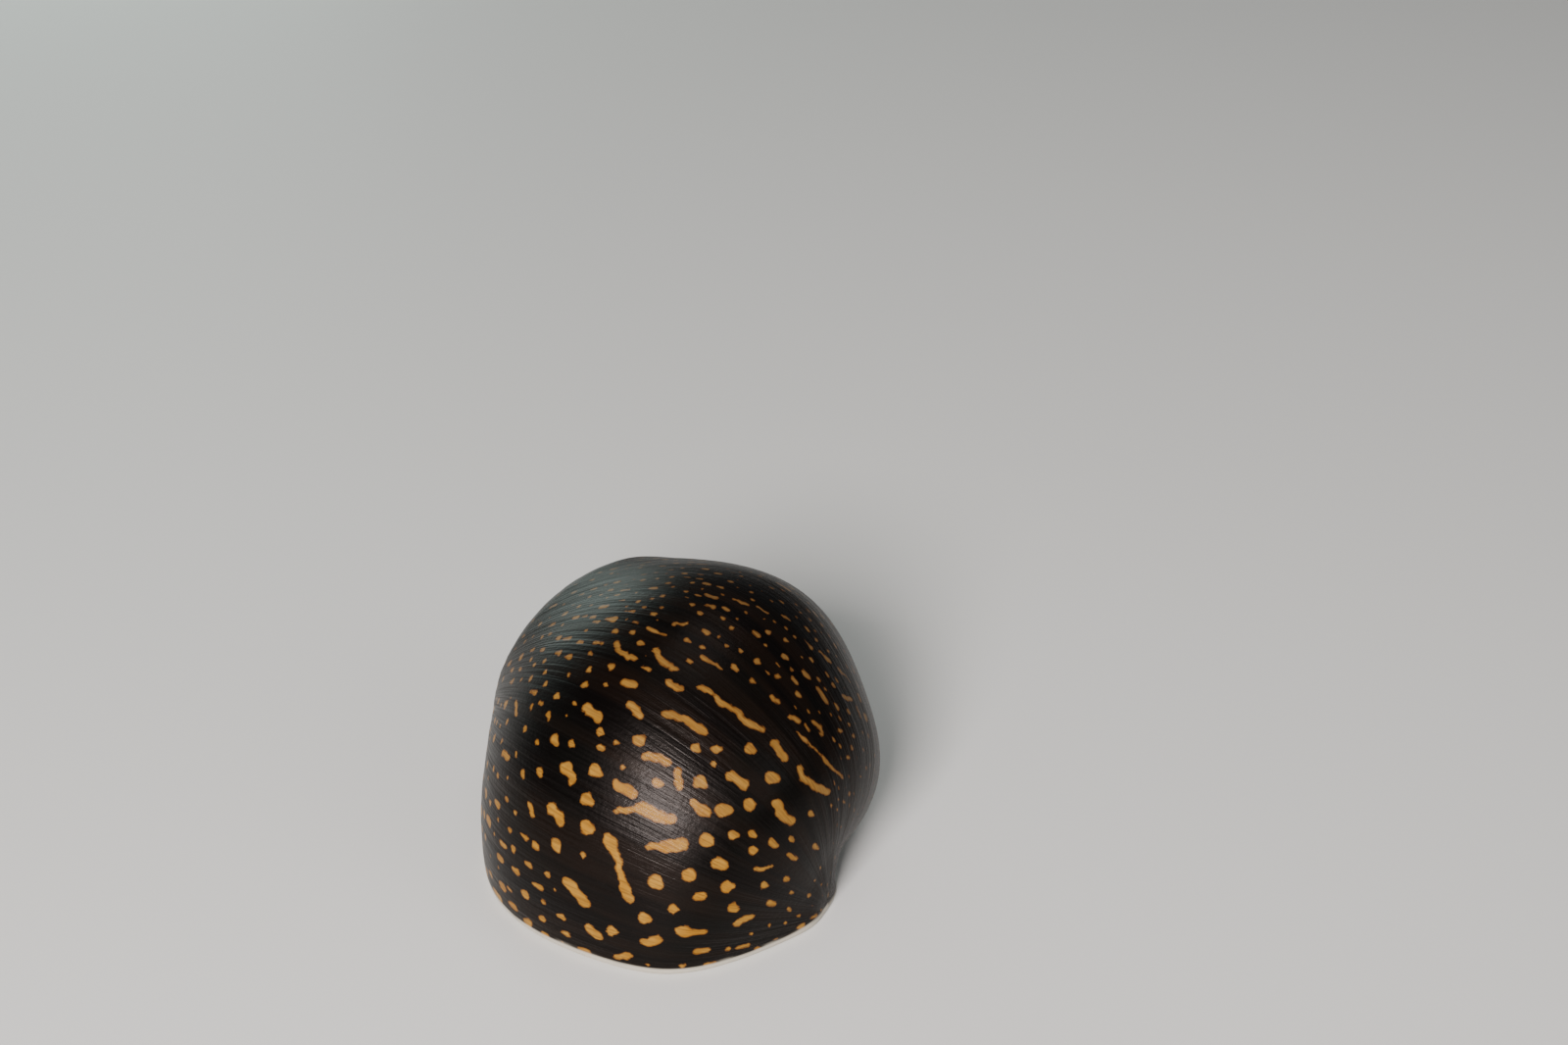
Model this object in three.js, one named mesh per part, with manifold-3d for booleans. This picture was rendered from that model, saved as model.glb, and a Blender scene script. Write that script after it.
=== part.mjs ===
// Life-size model of a nerite snail clamped to the ground, shell down and body drawn in.
// Units are millimetres, z is up, the ground is z = 0 and the head points to minus y.
import * as THREE from 'three';
import Module from 'manifold-3d';
import { mergeVertices } from 'three/addons/utils/BufferGeometryUtils.js';
import { ParametricGeometry } from 'three/addons/geometries/ParametricGeometry.js';

const wasm = await Module();
wasm.setup();

const degree = Math.PI / 180;

// The coiling axis runs from the pole of the base, on the ground, up to the tip of the spire.
const axisRise = 20 * degree;
const axisTurn = 39.3 * degree;
const poleX = 8.525;
const poleY = -7.137;
const poleToApex = 23.1;

// The lip is a flat oval on the ground, on the front left side of the axis.
const lipChord = 23.4;
const lipDepth = 13.2;
const lipFullness = 0.91;
const lipEgg = 0.17;
const lipSquare = 0.1;
const lipLean = -2.8;

// Growth: each turn back, the whorl is smaller by this ratio, and less so along the axis.
const turnRatio = 2.2;
const axialShare = 0.83;
const poleShare = 0.4;
const poleSpread = 0.9;
const shoulderRise = 0.5;
const shoulderBulge = 1.1;
const bulgeShare = 0.6;

// Shell wall, gaps between touching pieces, and the callus that levels the base.
const wall = 1.0;
const gap = 0.3;
const callusHalfLength = 11.8;
const callusWidth = 3.9;
const callusHeight = 4.6;
const cornerPress = 0.35;
const cornerSpread = 1.6;
const spirePlugDepth = 2.2;

// The deck is a shelf over the rear right half of the mouth, with small teeth on its free edge.
const deckFloor = 2.7;
const deckThick = 0.9;
const deckEdge = 1.6;
const toothCount = 7;
const toothRadius = 0.42;
const toothPitch = 1.15;
const toothStart = 7.6;

// Animal: sole, operculum and head, all drawn in under the shell.
const footTop = 1.6;
const footMiddle = 1.6;
const footHalfWidth = 9.4;
const footHalfLength = 8.6;
const bodyFront = -6.3;
const operculumThick = 0.5;
const operculumLength = 10.5;
const operculumWidth = 4.6;
const operculumShare = 0.56;
const headCentre = new THREE.Vector3(0, -7.75, 1.95);
const headRadii = new THREE.Vector3(2.3, 1.75, 1.45);
const snoutCentre = new THREE.Vector3(0, -9.25, 1.25);
const snoutRadii = new THREE.Vector3(1.75, 1.2, 1.0);
const snoutCut = -8.8;
const lobeApart = 0.85;
const lobeRadii = new THREE.Vector3(0.8, 0.85, 0.7);
const lobeOffset = new THREE.Vector3(0, -0.2, -0.1);
const slitSize = new THREE.Vector3(1.2, 0.5, 0.35);
const slitDrop = 0.3;
const neckHalfWidth = 1.9;
const neckBack = -3.6;
const headRoof = 3.9;
const tentacleBaseRadius = 0.48;
const tentacleTipRadius = 0.26;
const tentacleSplit = 0.5;
const tentacleJoint = 0.04;
const stalkRadius = 0.5;
const stalkTaper = 0.8;
const eyeRadius = 0.34;

// Mesh fineness, the distance within which points are one, and a size larger than the whole snail.
const weld = 1e-3;
const sheetColumns = 48;
const skirtDepth = 6;
const poleMargin = 0.01;
const emptyReach = 4;
const beyond = 40;

const toApex = new THREE.Vector3(
  -Math.sin(axisTurn) * Math.cos(axisRise),
  Math.cos(axisTurn) * Math.cos(axisRise),
  Math.sin(axisRise),
);
const along = new THREE.Vector3(-Math.sin(axisTurn), Math.cos(axisTurn), 0);
const outward = new THREE.Vector3(-Math.cos(axisTurn), -Math.sin(axisTurn), 0);
const pole = new THREE.Vector3(poleX, poleY, 0);
const apex = pole.clone().addScaledVector(toApex, poleToApex);
const heart = pole.clone().addScaledVector(toApex, poleToApex / 2);

const slate = new THREE.MeshStandardMaterial({ color: 0x1d1712, roughness: 0.25, metalness: 0 });
const bone = new THREE.MeshStandardMaterial({ color: 0xd9d5cb, roughness: 0.4, metalness: 0 });
const horn = new THREE.MeshStandardMaterial({ color: 0x6b4a3a, roughness: 0.45, metalness: 0 });
const flesh = new THREE.MeshStandardMaterial({ color: 0x4a453f, roughness: 0.4, metalness: 0 });
const sole = new THREE.MeshStandardMaterial({ color: 0xb8ad93, roughness: 0.5, metalness: 0 });
const jet = new THREE.MeshStandardMaterial({ color: 0x0a0a0c, roughness: 0.1, metalness: 0 });

// Closed three.js geometry to solid: shared points merged, empty triangles dropped, faces outward.
function solidOf(geometry) {
  const copy = geometry.clone();
  copy.deleteAttribute('normal');
  copy.deleteAttribute('uv');
  const merged = mergeVertices(copy, weld);
  const place = merged.attributes.position;
  const corner = [0, 1, 2].map(() => new THREE.Vector3());
  const kept = [];
  let volume = 0;
  for (let i = 0; i < merged.index.count; i += 3) {
    const ids = [0, 1, 2].map((k) => merged.index.getX(i + k));
    if (ids[0] === ids[1] || ids[1] === ids[2] || ids[2] === ids[0]) continue;
    ids.forEach((id, k) => corner[k].fromBufferAttribute(place, id));
    volume += corner[0].dot(corner[1].clone().cross(corner[2]));
    kept.push(ids);
  }
  const triVerts = new Uint32Array(kept.flatMap((ids) => (volume > 0 ? ids : [ids[0], ids[2], ids[1]])));
  const vertProperties = new Float32Array(place.array);
  return new wasm.Manifold(new wasm.Mesh({ numProp: 3, vertProperties, triVerts }));
}

function geometryOf(solid) {
  const mesh = solid.getMesh();
  const geometry = new THREE.BufferGeometry();
  geometry.setAttribute('position', new THREE.BufferAttribute(new Float32Array(mesh.vertProperties), 3));
  geometry.setIndex(new THREE.BufferAttribute(new Uint32Array(mesh.triVerts), 1));
  return geometry;
}

// The largest closed surface of a solid, read back once so that pinched scraps fall away too.
function largestPart(solid) {
  const larger = (best, part) => (part.volume() > best.volume() ? part : best);
  const pick = (whole) => whole.decompose().reduce(larger);
  return pick(solidOf(geometryOf(pick(solid))));
}

function joined(solids) {
  return solids.reduce((sum, solid) => sum.add(solid));
}

function box(sx, sy, sz, x, y, z) {
  return solidOf(new THREE.BoxGeometry(sx, sy, sz).translate(x, y, z));
}

// Point of the lip line on the ground: t runs from 0 at the pole to pi at the shoulder.
function lipPoint(t) {
  const reach = (lipChord / 2) * (1 - Math.cos(t)) + lipLean * Math.sin(t) ** 2;
  const egg = 1 + lipEgg * Math.cos(t) + lipSquare * Math.cos(3 * t);
  const depth = lipDepth * Math.max(Math.sin(t), 0) ** lipFullness * egg;
  return pole.clone().addScaledVector(along, reach).addScaledVector(outward, depth);
}

// Point of the shell: the lip turned back by -turn about the axis and shrunk toward the apex.
// Past s = 1 the line leaves the ground plane and runs over the swollen shoulder to the axis.
function shellPoint(turn, s, grow = 0) {
  const t = Math.PI * Math.min(s, 1);
  const shoulder = Math.max(s - 1, 0);
  const arm = lipPoint(t).sub(apex);
  const height = arm.dot(toApex);
  arm.addScaledVector(toApex, -height);
  arm.multiplyScalar(1 - shoulder);
  const share = poleShare + (axialShare - poleShare) * (1 - Math.exp(-((t / poleSpread) ** 2)));
  const turns = turn / (2 * Math.PI);
  arm.multiplyScalar(turnRatio ** turns);
  arm.applyAxisAngle(toApex, -turn);
  const reach = arm.length();
  if (reach > 1e-6) arm.multiplyScalar((reach + grow) / reach);
  const bulge = shoulderBulge * Math.sin(Math.PI * Math.min(shoulder / bulgeShare, 1));
  const swell = (shoulderRise * shoulder + bulge) * turnRatio ** turns;
  const lift = height * turnRatio ** (turns * share) + swell + grow;
  return apex.clone().addScaledVector(toApex, lift).add(arm);
}

// Surfaces that the rays below look for: the whorl, its lip carried on below the ground, the callus.
function whorlSheet(from, to, rows) {
  const sheet = (u, v, target) => {
    target.copy(shellPoint((from + (to - from) * u) * degree, 2 * v));
  };
  return new ParametricGeometry(sheet, rows, sheetColumns);
}

function lipSkirt() {
  const sheet = (u, v, target) => {
    target.copy(lipPoint(Math.PI * v));
    target.z = -skirtDepth * u;
  };
  return new ParametricGeometry(sheet, 2, sheetColumns);
}

// The callus is the rim of a wide, low dome whose foot passes through both ends of the chord.
function callusDome() {
  const radius = (callusHalfLength ** 2 + callusWidth ** 2) / (2 * callusWidth);
  const halfArc = Math.asin(callusHalfLength / radius);
  const centre = pole.clone().addScaledVector(along, lipChord / 2);
  centre.addScaledVector(outward, radius - callusWidth);
  const sheet = (u, v, target) => {
    const round = (2 * u - 1) * halfArc;
    const rise = (2 * v - 1) * (Math.PI / 2);
    target.copy(centre).addScaledVector(outward, -radius * Math.cos(rise) * Math.cos(round));
    target.addScaledVector(along, radius * Math.cos(rise) * Math.sin(round));
    target.z = callusHeight * Math.sin(rise);
  };
  return new ParametricGeometry(sheet, 48, 48);
}

const seen = new THREE.MeshBasicMaterial({ side: THREE.DoubleSide });
const outerSheets = [whorlSheet(-400, 0, 60), lipSkirt(), callusDome()].map((g) => new THREE.Mesh(g, seen));
const spireSheets = [new THREE.Mesh(whorlSheet(-1440, -364, 100), seen)];
const ray = new THREE.Raycaster();

// Distance from a centre, along a direction, to the farthest of some sheets and not past the skirt's foot.
function reachOf(centre, direction, sheets) {
  ray.set(centre, direction);
  const hits = ray.intersectObjects(sheets);
  const foot = direction.z < 0 ? (centre.z + skirtDepth) / -direction.z : Infinity;
  const far = hits.length ? hits[hits.length - 1].distance : emptyReach;
  return Math.min(far, foot);
}

// Unit direction from a centre: u turns about the axis, v goes from the base pole to the apex.
function aim(u, v) {
  const round = outward.clone().applyAxisAngle(toApex, 2 * Math.PI * u);
  const tilt = Math.PI * (1 - v);
  return toApex.clone().multiplyScalar(Math.cos(tilt)).addScaledVector(round, Math.sin(tilt));
}

// Table of reaches over a grid of directions, shared by every skin that is set in from it.
function reachTable(centre, sheets, rows, columns) {
  const table = [];
  for (let row = 0; row < rows; row += 1) {
    table.push([]);
    for (let column = 0; column <= columns; column += 1) {
      const v = Math.min(Math.max(column / columns, poleMargin), 1 - poleMargin);
      const lone = column === 0 || column === columns;
      table[row].push(lone && row > 0 ? table[0][column] : reachOf(centre, aim(row / rows, v), sheets));
    }
  }
  return { centre, rows, columns, table: softened(softened(table)) };
}

// Each reach is averaged with its four neighbours, so that the callus flows into the whorl.
function softened(table) {
  const rows = table.length;
  return table.map((line, row) => line.map((reach, column) => {
    if (column === 0 || column === line.length - 1) return reach;
    const beside = table[(row + 1) % rows][column] + table[(row + rows - 1) % rows][column];
    return reach / 2 + (beside + line[column - 1] + line[column + 1]) / 8;
  }));
}

// The corner of the base at the pole is pushed in, less and less away from it, so that it is round.
function cornerPressed(point) {
  const near = Math.exp(-point.distanceToSquared(pole) / cornerSpread ** 2);
  const push = along.clone().add(outward).normalize();
  return point.addScaledVector(push, cornerPress * near);
}

// Closed solid whose skin stands at the table's reach, less an inset, from the centre.
function skin({ centre, rows, columns, table }, inset) {
  const surface = (u, v, target) => {
    const column = Math.round(v * columns);
    const reach = table[Math.round(u * rows) % rows][column] - inset;
    cornerPressed(target.copy(centre).addScaledVector(aim(u, v), reach));
  };
  return solidOf(new ParametricGeometry(surface, rows, columns));
}

const ground = box(2 * beyond, 2 * beyond, beyond, 0, 0, -beyond / 2);
const spireHeart = apex.clone().addScaledVector(toApex, -3);
const outerTable = reachTable(heart, outerSheets, 48, 30);
const innerTable = reachTable(heart, outerSheets, 36, 22);
const spireTable = reachTable(spireHeart, spireSheets, 32, 20);

const outerWhorl = skin(outerTable, 0).subtract(ground);
const chamber = skin(innerTable, wall);
const fleshSpace = skin(innerTable, wall + gap);

// The room inside the shell, less a gap, between two heights.
function slab(low, high) {
  return fleshSpace.intersect(box(2 * beyond, 2 * beyond, high - low, 0, 0, (low + high) / 2));
}

function nearApex(depth) {
  const block = new THREE.BoxGeometry(beyond, beyond, beyond);
  block.translate(0, 0, beyond / 2);
  block.applyQuaternion(new THREE.Quaternion().setFromUnitVectors(new THREE.Vector3(0, 0, 1), toApex));
  const foot = apex.clone().addScaledVector(toApex, -depth);
  block.translate(foot.x, foot.y, foot.z);
  return solidOf(block);
}

// Closed tapered tube along a smooth curve, with rounded ends.
function taperedTube(points, startRadius, endRadius, { extra = 0, from = 0, to = 1, sides = 10 } = {}) {
  const curve = new THREE.CatmullRomCurve3(points);
  const rings = 12;
  const frames = curve.computeFrenetFrames(rings, false);
  const surface = (u, v, target) => {
    const ring = Math.round(u * rings);
    const at = from + (to - from) * u;
    const end = ring === 0 || ring === rings;
    const taper = startRadius + (endRadius - startRadius) * at;
    const radius = end ? 0 : taper + extra;
    const angle = 2 * Math.PI * (v === 1 ? 0 : v);
    target.copy(curve.getPointAt(at));
    target.addScaledVector(frames.normals[ring], radius * Math.cos(angle));
    target.addScaledVector(frames.binormals[ring], radius * Math.sin(angle));
  };
  return solidOf(new ParametricGeometry(surface, rings, sides));
}

function ellipsoid(centre, radii, across = 20, down = 14) {
  const ball = new THREE.SphereGeometry(1, across, down);
  ball.rotateX(Math.PI / 2).scale(radii.x, radii.y, radii.z);
  return solidOf(ball.translate(centre.x, centre.y, centre.z));
}

// Block between two heights that fills all of the callus side, up to a line beside the chord.
function chordBlock(edge, low, high) {
  const block = new THREE.BoxGeometry(beyond, 2 * beyond, high - low);
  block.translate(beyond / 2 - edge, 0, (low + high) / 2);
  return solidOf(block.rotateZ(axisTurn).translate(poleX, poleY, 0));
}

// Shelf of the deck, set in from the wall, with a row of teeth fused to its free edge.
function deck() {
  const shelf = chordBlock(deckEdge, deckFloor, deckFloor + deckThick);
  const teeth = [];
  for (let i = 0; i < toothCount; i += 1) {
    const swell = 1 - 0.35 * Math.abs(i - (toothCount - 1) / 2) / ((toothCount - 1) / 2);
    const at = pole.clone().addScaledVector(along, toothStart + i * toothPitch);
    at.addScaledVector(outward, deckEdge);
    at.z = deckFloor + deckThick / 2;
    const size = new THREE.Vector3(toothRadius, toothRadius, deckThick * 0.45).multiplyScalar(swell);
    teeth.push(ellipsoid(at, size, 10, 8));
  }
  return shelf.intersect(fleshSpace).add(joined(teeth));
}

// Half-moon plate lying on the rear of the foot, its straight edge along the columellar chord.
function operculum() {
  const moon = new THREE.Shape();
  moon.moveTo(-operculumLength / 2, 0);
  moon.lineTo(operculumLength / 2, 0);
  moon.absellipse(0, 0, operculumLength / 2, operculumWidth, 0, Math.PI, false, 0);
  const options = { depth: operculumThick, bevelEnabled: false, curveSegments: 24 };
  const plate = new THREE.ExtrudeGeometry(moon, options);
  plate.rotateZ(-Math.PI / 2).rotateZ(axisTurn);
  const at = pole.clone().addScaledVector(along, lipChord * operculumShare);
  at.addScaledVector(outward, deckEdge);
  plate.translate(at.x, at.y, footTop + gap);
  return solidOf(plate);
}

// Tentacles lie folded back along the inside of the lip, one on each side of the head.
const tentaclePaths = {
  left: [[1.9, -8.0, 2.1], [3.6, -8.4, 2.1], [5.2, -7.8, 2.1], [6.2, -6.5, 2.2], [6.1, -5.0, 2.3]],
  right: [[-1.9, -8.0, 2.1], [-3.7, -8.4, 2.1], [-5.6, -8.0, 2.1], [-7.0, -6.7, 2.1], [-7.9, -5.0, 2.2]],
};

function pathPoints(path) {
  return path.map(([x, y, z]) => new THREE.Vector3(x, y, z));
}

function tentacle(side, options) {
  return taperedTube(pathPoints(tentaclePaths[side]), tentacleBaseRadius, tentacleTipRadius, options);
}

// An eyestalk rises from the side of the head beside the tentacle's root.
function stalkPoints(hand) {
  return pathPoints([[1.2 * hand, -7.5, 2.4], [2.1 * hand, -7.35, 2.75], [2.9 * hand, -7.2, 3.1]]);
}

function eyePoint(hand) {
  return stalkPoints(hand)[2].add(new THREE.Vector3(0.3 * hand, 0, 0.15));
}

function eyeBall(hand, extra = 0) {
  const radius = eyeRadius + extra;
  return ellipsoid(eyePoint(hand), new THREE.Vector3(radius, radius, radius), 12, 8);
}

function stalk(hand, extra = 0) {
  return taperedTube(stalkPoints(hand), stalkRadius, stalkRadius * stalkTaper, { extra });
}

// Oval column that rounds the foot off in front.
function footOval() {
  const column = new THREE.CylinderGeometry(1, 1, 4 * footTop, 48);
  column.rotateX(Math.PI / 2).scale(footHalfWidth, footHalfLength, 1);
  return solidOf(column.translate(0, footMiddle, 0));
}

// The snout is cut straight off the head, with a lobe beside the mouth slit on each side.
function snout(grow = 0) {
  const swell = (radii) => radii.clone().addScalar(grow);
  const lobes = [-1, 1].map((hand) => {
    const at = snoutCentre.clone().add(lobeOffset);
    at.x += lobeApart * hand;
    return ellipsoid(at, swell(lobeRadii), 14, 10);
  });
  return joined([ellipsoid(snoutCentre, swell(snoutRadii)), ...lobes]);
}

const headRoom = joined([ellipsoid(headCentre, headRadii.clone().addScalar(gap)), snout(gap)]);
const sideRooms = joined([
  tentacle('left', { extra: gap }),
  tentacle('right', { extra: gap }),
  stalk(-1, gap),
  stalk(1, gap),
  eyeBall(-1, gap),
  eyeBall(1, gap),
]);
const spireRoom = skin(spireTable, -gap).intersect(nearApex(spirePlugDepth + gap));
const deckReach = deckEdge + toothRadius + gap;
const deckRoom = chordBlock(deckReach, 0, deckFloor + deckThick + gap);
const bodyLow = footTop + gap;
const neckMiddle = (neckBack + bodyFront) / 2;
const neckLength = neckBack - bodyFront;
const neckHeight = headRoof - gap - bodyLow;
const neckBlock = box(2 * neckHalfWidth, neckLength, neckHeight, 0, neckMiddle, bodyLow + neckHeight / 2);
const neckRoom = box(2 * (neckHalfWidth + gap), neckLength + 2 * gap, headRoof, 0, neckMiddle, headRoof / 2);
const mouthSlit = box(...slitSize, 0, snoutCentre.y - snoutRadii.y, snoutCentre.z - slitDrop);
const aheadOf = (y) => box(beyond, beyond, beyond, 0, y - beyond / 2, 0);

const group = new THREE.Group();

function addNode(name, solid, material) {
  const mesh = new THREE.Mesh(geometryOf(largestPart(solid)), material);
  mesh.name = name;
  group.add(mesh);
}

addNode('shell_body_whorl', outerWhorl.subtract(chamber).subtract(spireRoom), slate);
addNode('shell_spire', skin(spireTable, 0).intersect(nearApex(spirePlugDepth)), bone);
addNode('shell_deck', deck(), bone);
addNode('operculum', operculum().intersect(fleshSpace), horn);
addNode('foot', slab(0, footTop).intersect(footOval()).subtract(headRoom).subtract(sideRooms), sole);
addNode('neck', neckBlock.intersect(fleshSpace).subtract(headRoom), flesh);
addNode(
  'body_mantle',
  slab(bodyLow, beyond)
    .subtract(deckRoom)
    .subtract(aheadOf(bodyFront).intersect(slab(0, headRoof)))
    .subtract(neckRoom)
    .subtract(headRoom)
    .subtract(sideRooms)
    .subtract(spireRoom),
  flesh,
);
const headBall = ellipsoid(headCentre, headRadii).intersect(fleshSpace);
addNode('head', headBall.subtract(aheadOf(snoutCut + gap)), flesh);
addNode('snout', snout().intersect(fleshSpace).intersect(aheadOf(snoutCut)).subtract(mouthSlit), flesh);
for (const [side, hand] of [['left', 1], ['right', -1]]) {
  const root = tentacle(side, { to: tentacleSplit }).subtract(headRoom);
  addNode(`tentacle_${side}_base`, root.subtract(stalk(hand, gap)), flesh);
  addNode(`tentacle_${side}_tip`, tentacle(side, { from: tentacleSplit + tentacleJoint }), flesh);
  addNode(`eyestalk_${side}`, stalk(hand).subtract(headRoom).subtract(eyeBall(hand, gap)), flesh);
  addNode(`eye_${side}`, eyeBall(hand), jet);
}

export default group;
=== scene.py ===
import bpy
import numpy as np
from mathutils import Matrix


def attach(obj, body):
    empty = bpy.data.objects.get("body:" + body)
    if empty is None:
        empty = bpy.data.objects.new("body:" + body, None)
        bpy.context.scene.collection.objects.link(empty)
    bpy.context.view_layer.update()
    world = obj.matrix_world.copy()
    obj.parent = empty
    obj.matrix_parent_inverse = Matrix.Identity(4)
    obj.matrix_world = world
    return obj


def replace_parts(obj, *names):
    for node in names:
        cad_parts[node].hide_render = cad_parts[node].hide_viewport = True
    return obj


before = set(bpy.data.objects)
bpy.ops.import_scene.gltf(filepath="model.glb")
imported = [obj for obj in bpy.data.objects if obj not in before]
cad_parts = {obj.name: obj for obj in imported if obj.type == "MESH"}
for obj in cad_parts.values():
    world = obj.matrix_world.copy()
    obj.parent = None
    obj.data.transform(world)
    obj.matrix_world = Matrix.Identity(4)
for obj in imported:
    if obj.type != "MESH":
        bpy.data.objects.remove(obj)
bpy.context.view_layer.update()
mm = 0.001
rng = np.random.default_rng(20)
noiseSet = {"waves": 9, "phase": 6.28, "scale": 4.2}


def unit(v):
    # each vector over its own length
    v = np.asarray(v, float)
    return v / np.linalg.norm(v, axis=-1, keepdims=True)


def smoothStep(low, high, x):
    # rises from 0 at low to 1 at high along 3x^2 - 2x^3
    f = np.clip((x - low) / (high - low), 0, 1)
    return f * f * (3 - 2 * f)


def softMax(a, b, width):
    # the larger of two values, with the corner between them rounded over the width
    return np.logaddexp(a / width, b / width) * width


def nearTo(points, place, spread):
    # 1 at a place, falling with distance as a Gaussian of that spread
    return np.exp(-((points - place) ** 2).sum(-1) / spread ** 2)


def uneven(points, *layers):
    # smooth noise in layers of millimetres across, amount and seed: each layer is the sum of a few
    # sine waves in random directions
    p = noiseSet
    total = 0
    for size, amount, seed in layers:
        local = np.random.default_rng(seed)
        ways = unit(local.normal(size=(p["waves"], 3))) * 2 * np.pi / size
        waves = np.sin(points @ ways.T + local.uniform(0, p["phase"], p["waves"]))
        total = total + amount * (waves.sum(-1) / p["scale"])
    return total


def turned(v, axis, angle):
    # Rodrigues: v cos + (axis x v) sin + axis (axis . v)(1 - cos)
    c, s = np.cos(angle)[..., None], np.sin(angle)[..., None]
    return v * c + np.cross(axis, v) * s + axis * (v @ axis)[..., None] * (1 - c)


def gridFaces(rows, columns, loopRows=False, loopColumns=False):
    # four corners of every cell of a grid, row by row
    index = np.arange(rows * columns).reshape(rows, columns)
    if loopRows:
        index = np.vstack([index, index[:1]])
    if loopColumns:
        index = np.hstack([index, index[:, :1]])
    return np.stack([index[:-1, :-1], index[:-1, 1:], index[1:, 1:], index[1:, :-1]], -1).reshape(-1, 4)


def writeValues(mesh, values):
    # under each name one number per point, for the materials to read
    for key, numbers in values.items():
        layer = mesh.attributes.new(key, "FLOAT", "POINT")
        layer.data.foreach_set("value", np.asarray(numbers, np.float32).ravel())


def makePiece(name, points, faceSets, material, values=None, uv=None):
    # points in millimetres; each face set is an array of faces with the same number of corners
    mesh = bpy.data.meshes.new(name)
    points = np.asarray(points, float).reshape(-1, 3) * mm
    corners = np.concatenate([np.asarray(faces, np.int32).ravel() for faces in faceSets])
    sizes = np.concatenate([np.full(len(faces), np.shape(faces)[1], np.int32) for faces in faceSets])
    starts = np.concatenate([[0], np.cumsum(sizes)[:-1]]).astype(np.int32)
    mesh.vertices.add(len(points))
    mesh.vertices.foreach_set("co", points.astype(np.float32).ravel())
    mesh.loops.add(len(corners))
    mesh.loops.foreach_set("vertex_index", corners)
    mesh.polygons.add(len(sizes))
    mesh.polygons.foreach_set("loop_start", starts)
    mesh.polygons.foreach_set("use_smooth", np.ones(len(sizes), bool))
    writeValues(mesh, values or {})
    if uv is not None:
        layer = mesh.uv_layers.new(name="growth")
        layer.data.foreach_set("uv", np.asarray(uv, np.float32)[corners].ravel())
    mesh.update(calc_edges=True)
    mesh.validate()
    piece = bpy.data.objects.new(name, mesh)
    bpy.context.collection.objects.link(piece)
    mesh.materials.append(material)
    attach(piece, "root")
    return piece


def closedForm(rings):
    # rings of points, the first and last of which shrink to one point each, closed by fans
    count, around = rings.shape[:2]
    points = np.concatenate([rings[:1].mean(1), rings[1:-1].reshape(-1, 3), rings[-1:].mean(1)])
    quads = gridFaces(count - 2, around, loopColumns=True) + 1
    first, last = 1 + np.arange(around), 1 + (count - 3) * around + np.arange(around)
    top = np.stack([np.zeros(around, int), np.roll(first, -1), first], -1)
    bottom = np.stack([np.full(around, len(points) - 1), last, np.roll(last, -1)], -1)
    return points, quads, np.concatenate([top, bottom])


# The camera is read off the outline and the growth lines of the photograph.
cameraSet = {
    "place": (5.54, -112.68, 81.46),  # mm
    "pitch": 28.876,  # degrees down
    "focal": 2600.0,  # pixels, for an image of the size below
    "frame": (1600, 1066),
    "sensor": 36.0,  # mm
    "clip": (0.005, 10.0),  # m, nearest and farthest
}
pitch = np.radians(cameraSet["pitch"])
lookAxis = np.array([0, np.cos(pitch), -np.sin(pitch)])
rightAxis = np.array([1.0, 0, 0])
upAxis = np.cross(rightAxis, lookAxis)
cameraPlace = np.array(cameraSet["place"])

cameraData = bpy.data.cameras.new("view")
cameraData.sensor_width = cameraSet["sensor"]
cameraData.lens = cameraSet["sensor"] * cameraSet["focal"] / cameraSet["frame"][0]
cameraData.clip_start, cameraData.clip_end = cameraSet["clip"]
camera = bpy.data.objects.new("view", cameraData)
camera.location = cameraPlace * mm
camera.rotation_euler = (np.pi / 2 - pitch, 0, 0)
bpy.context.collection.objects.link(camera)
bpy.context.scene.camera = camera


def toPixel(points):
    # perspective view of points in millimetres, as pixels of the photograph
    away = points - cameraPlace
    depth = away @ lookAxis
    x = cameraSet["frame"][0] / 2 + cameraSet["focal"] * (away @ rightAxis) / depth
    y = cameraSet["frame"][1] / 2 - cameraSet["focal"] * (away @ upAxis) / depth
    return np.stack([x, y], -1)


print("camera ready")

shellSet = {
    "axisRise": 20.0, "axisTurn": 39.3,  # degrees
    "poleX": 8.525, "poleY": -7.137, "poleToApex": 23.1,
    "lipChord": 23.4, "lipDepth": 13.2, "lipFullness": 0.91,
    "lipEgg": 0.17, "lipSquare": 0.1, "lipLean": -2.8,
    "turnRatio": 2.2, "axialShare": 0.83, "poleShare": 0.4, "poleSpread": 0.9,
    "shoulderRise": 0.5, "shoulderBulge": 1.1, "bulgeShare": 0.6,
    "callusLength": 11.8, "callusWidth": 3.9, "callusHeight": 4.6, "callusBlend": 0.3,
    "cornerPress": 0.35, "cornerSpread": 1.6,  # mm, how the corner at the pole is rounded in
}
rise, turnAngle = np.radians(shellSet["axisRise"]), np.radians(shellSet["axisTurn"])
toApex = np.array([-np.sin(turnAngle) * np.cos(rise), np.cos(turnAngle) * np.cos(rise), np.sin(rise)])
along = np.array([-np.sin(turnAngle), np.cos(turnAngle), 0.0])
outward = np.array([-np.cos(turnAngle), -np.sin(turnAngle), 0.0])
pole = np.array([shellSet["poleX"], shellSet["poleY"], 0.0])
apex = pole + toApex * shellSet["poleToApex"]
callusMiddle = pole + along * shellSet["lipChord"] / 2
shoulderEnd = pole + along * shellSet["lipChord"]


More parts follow.
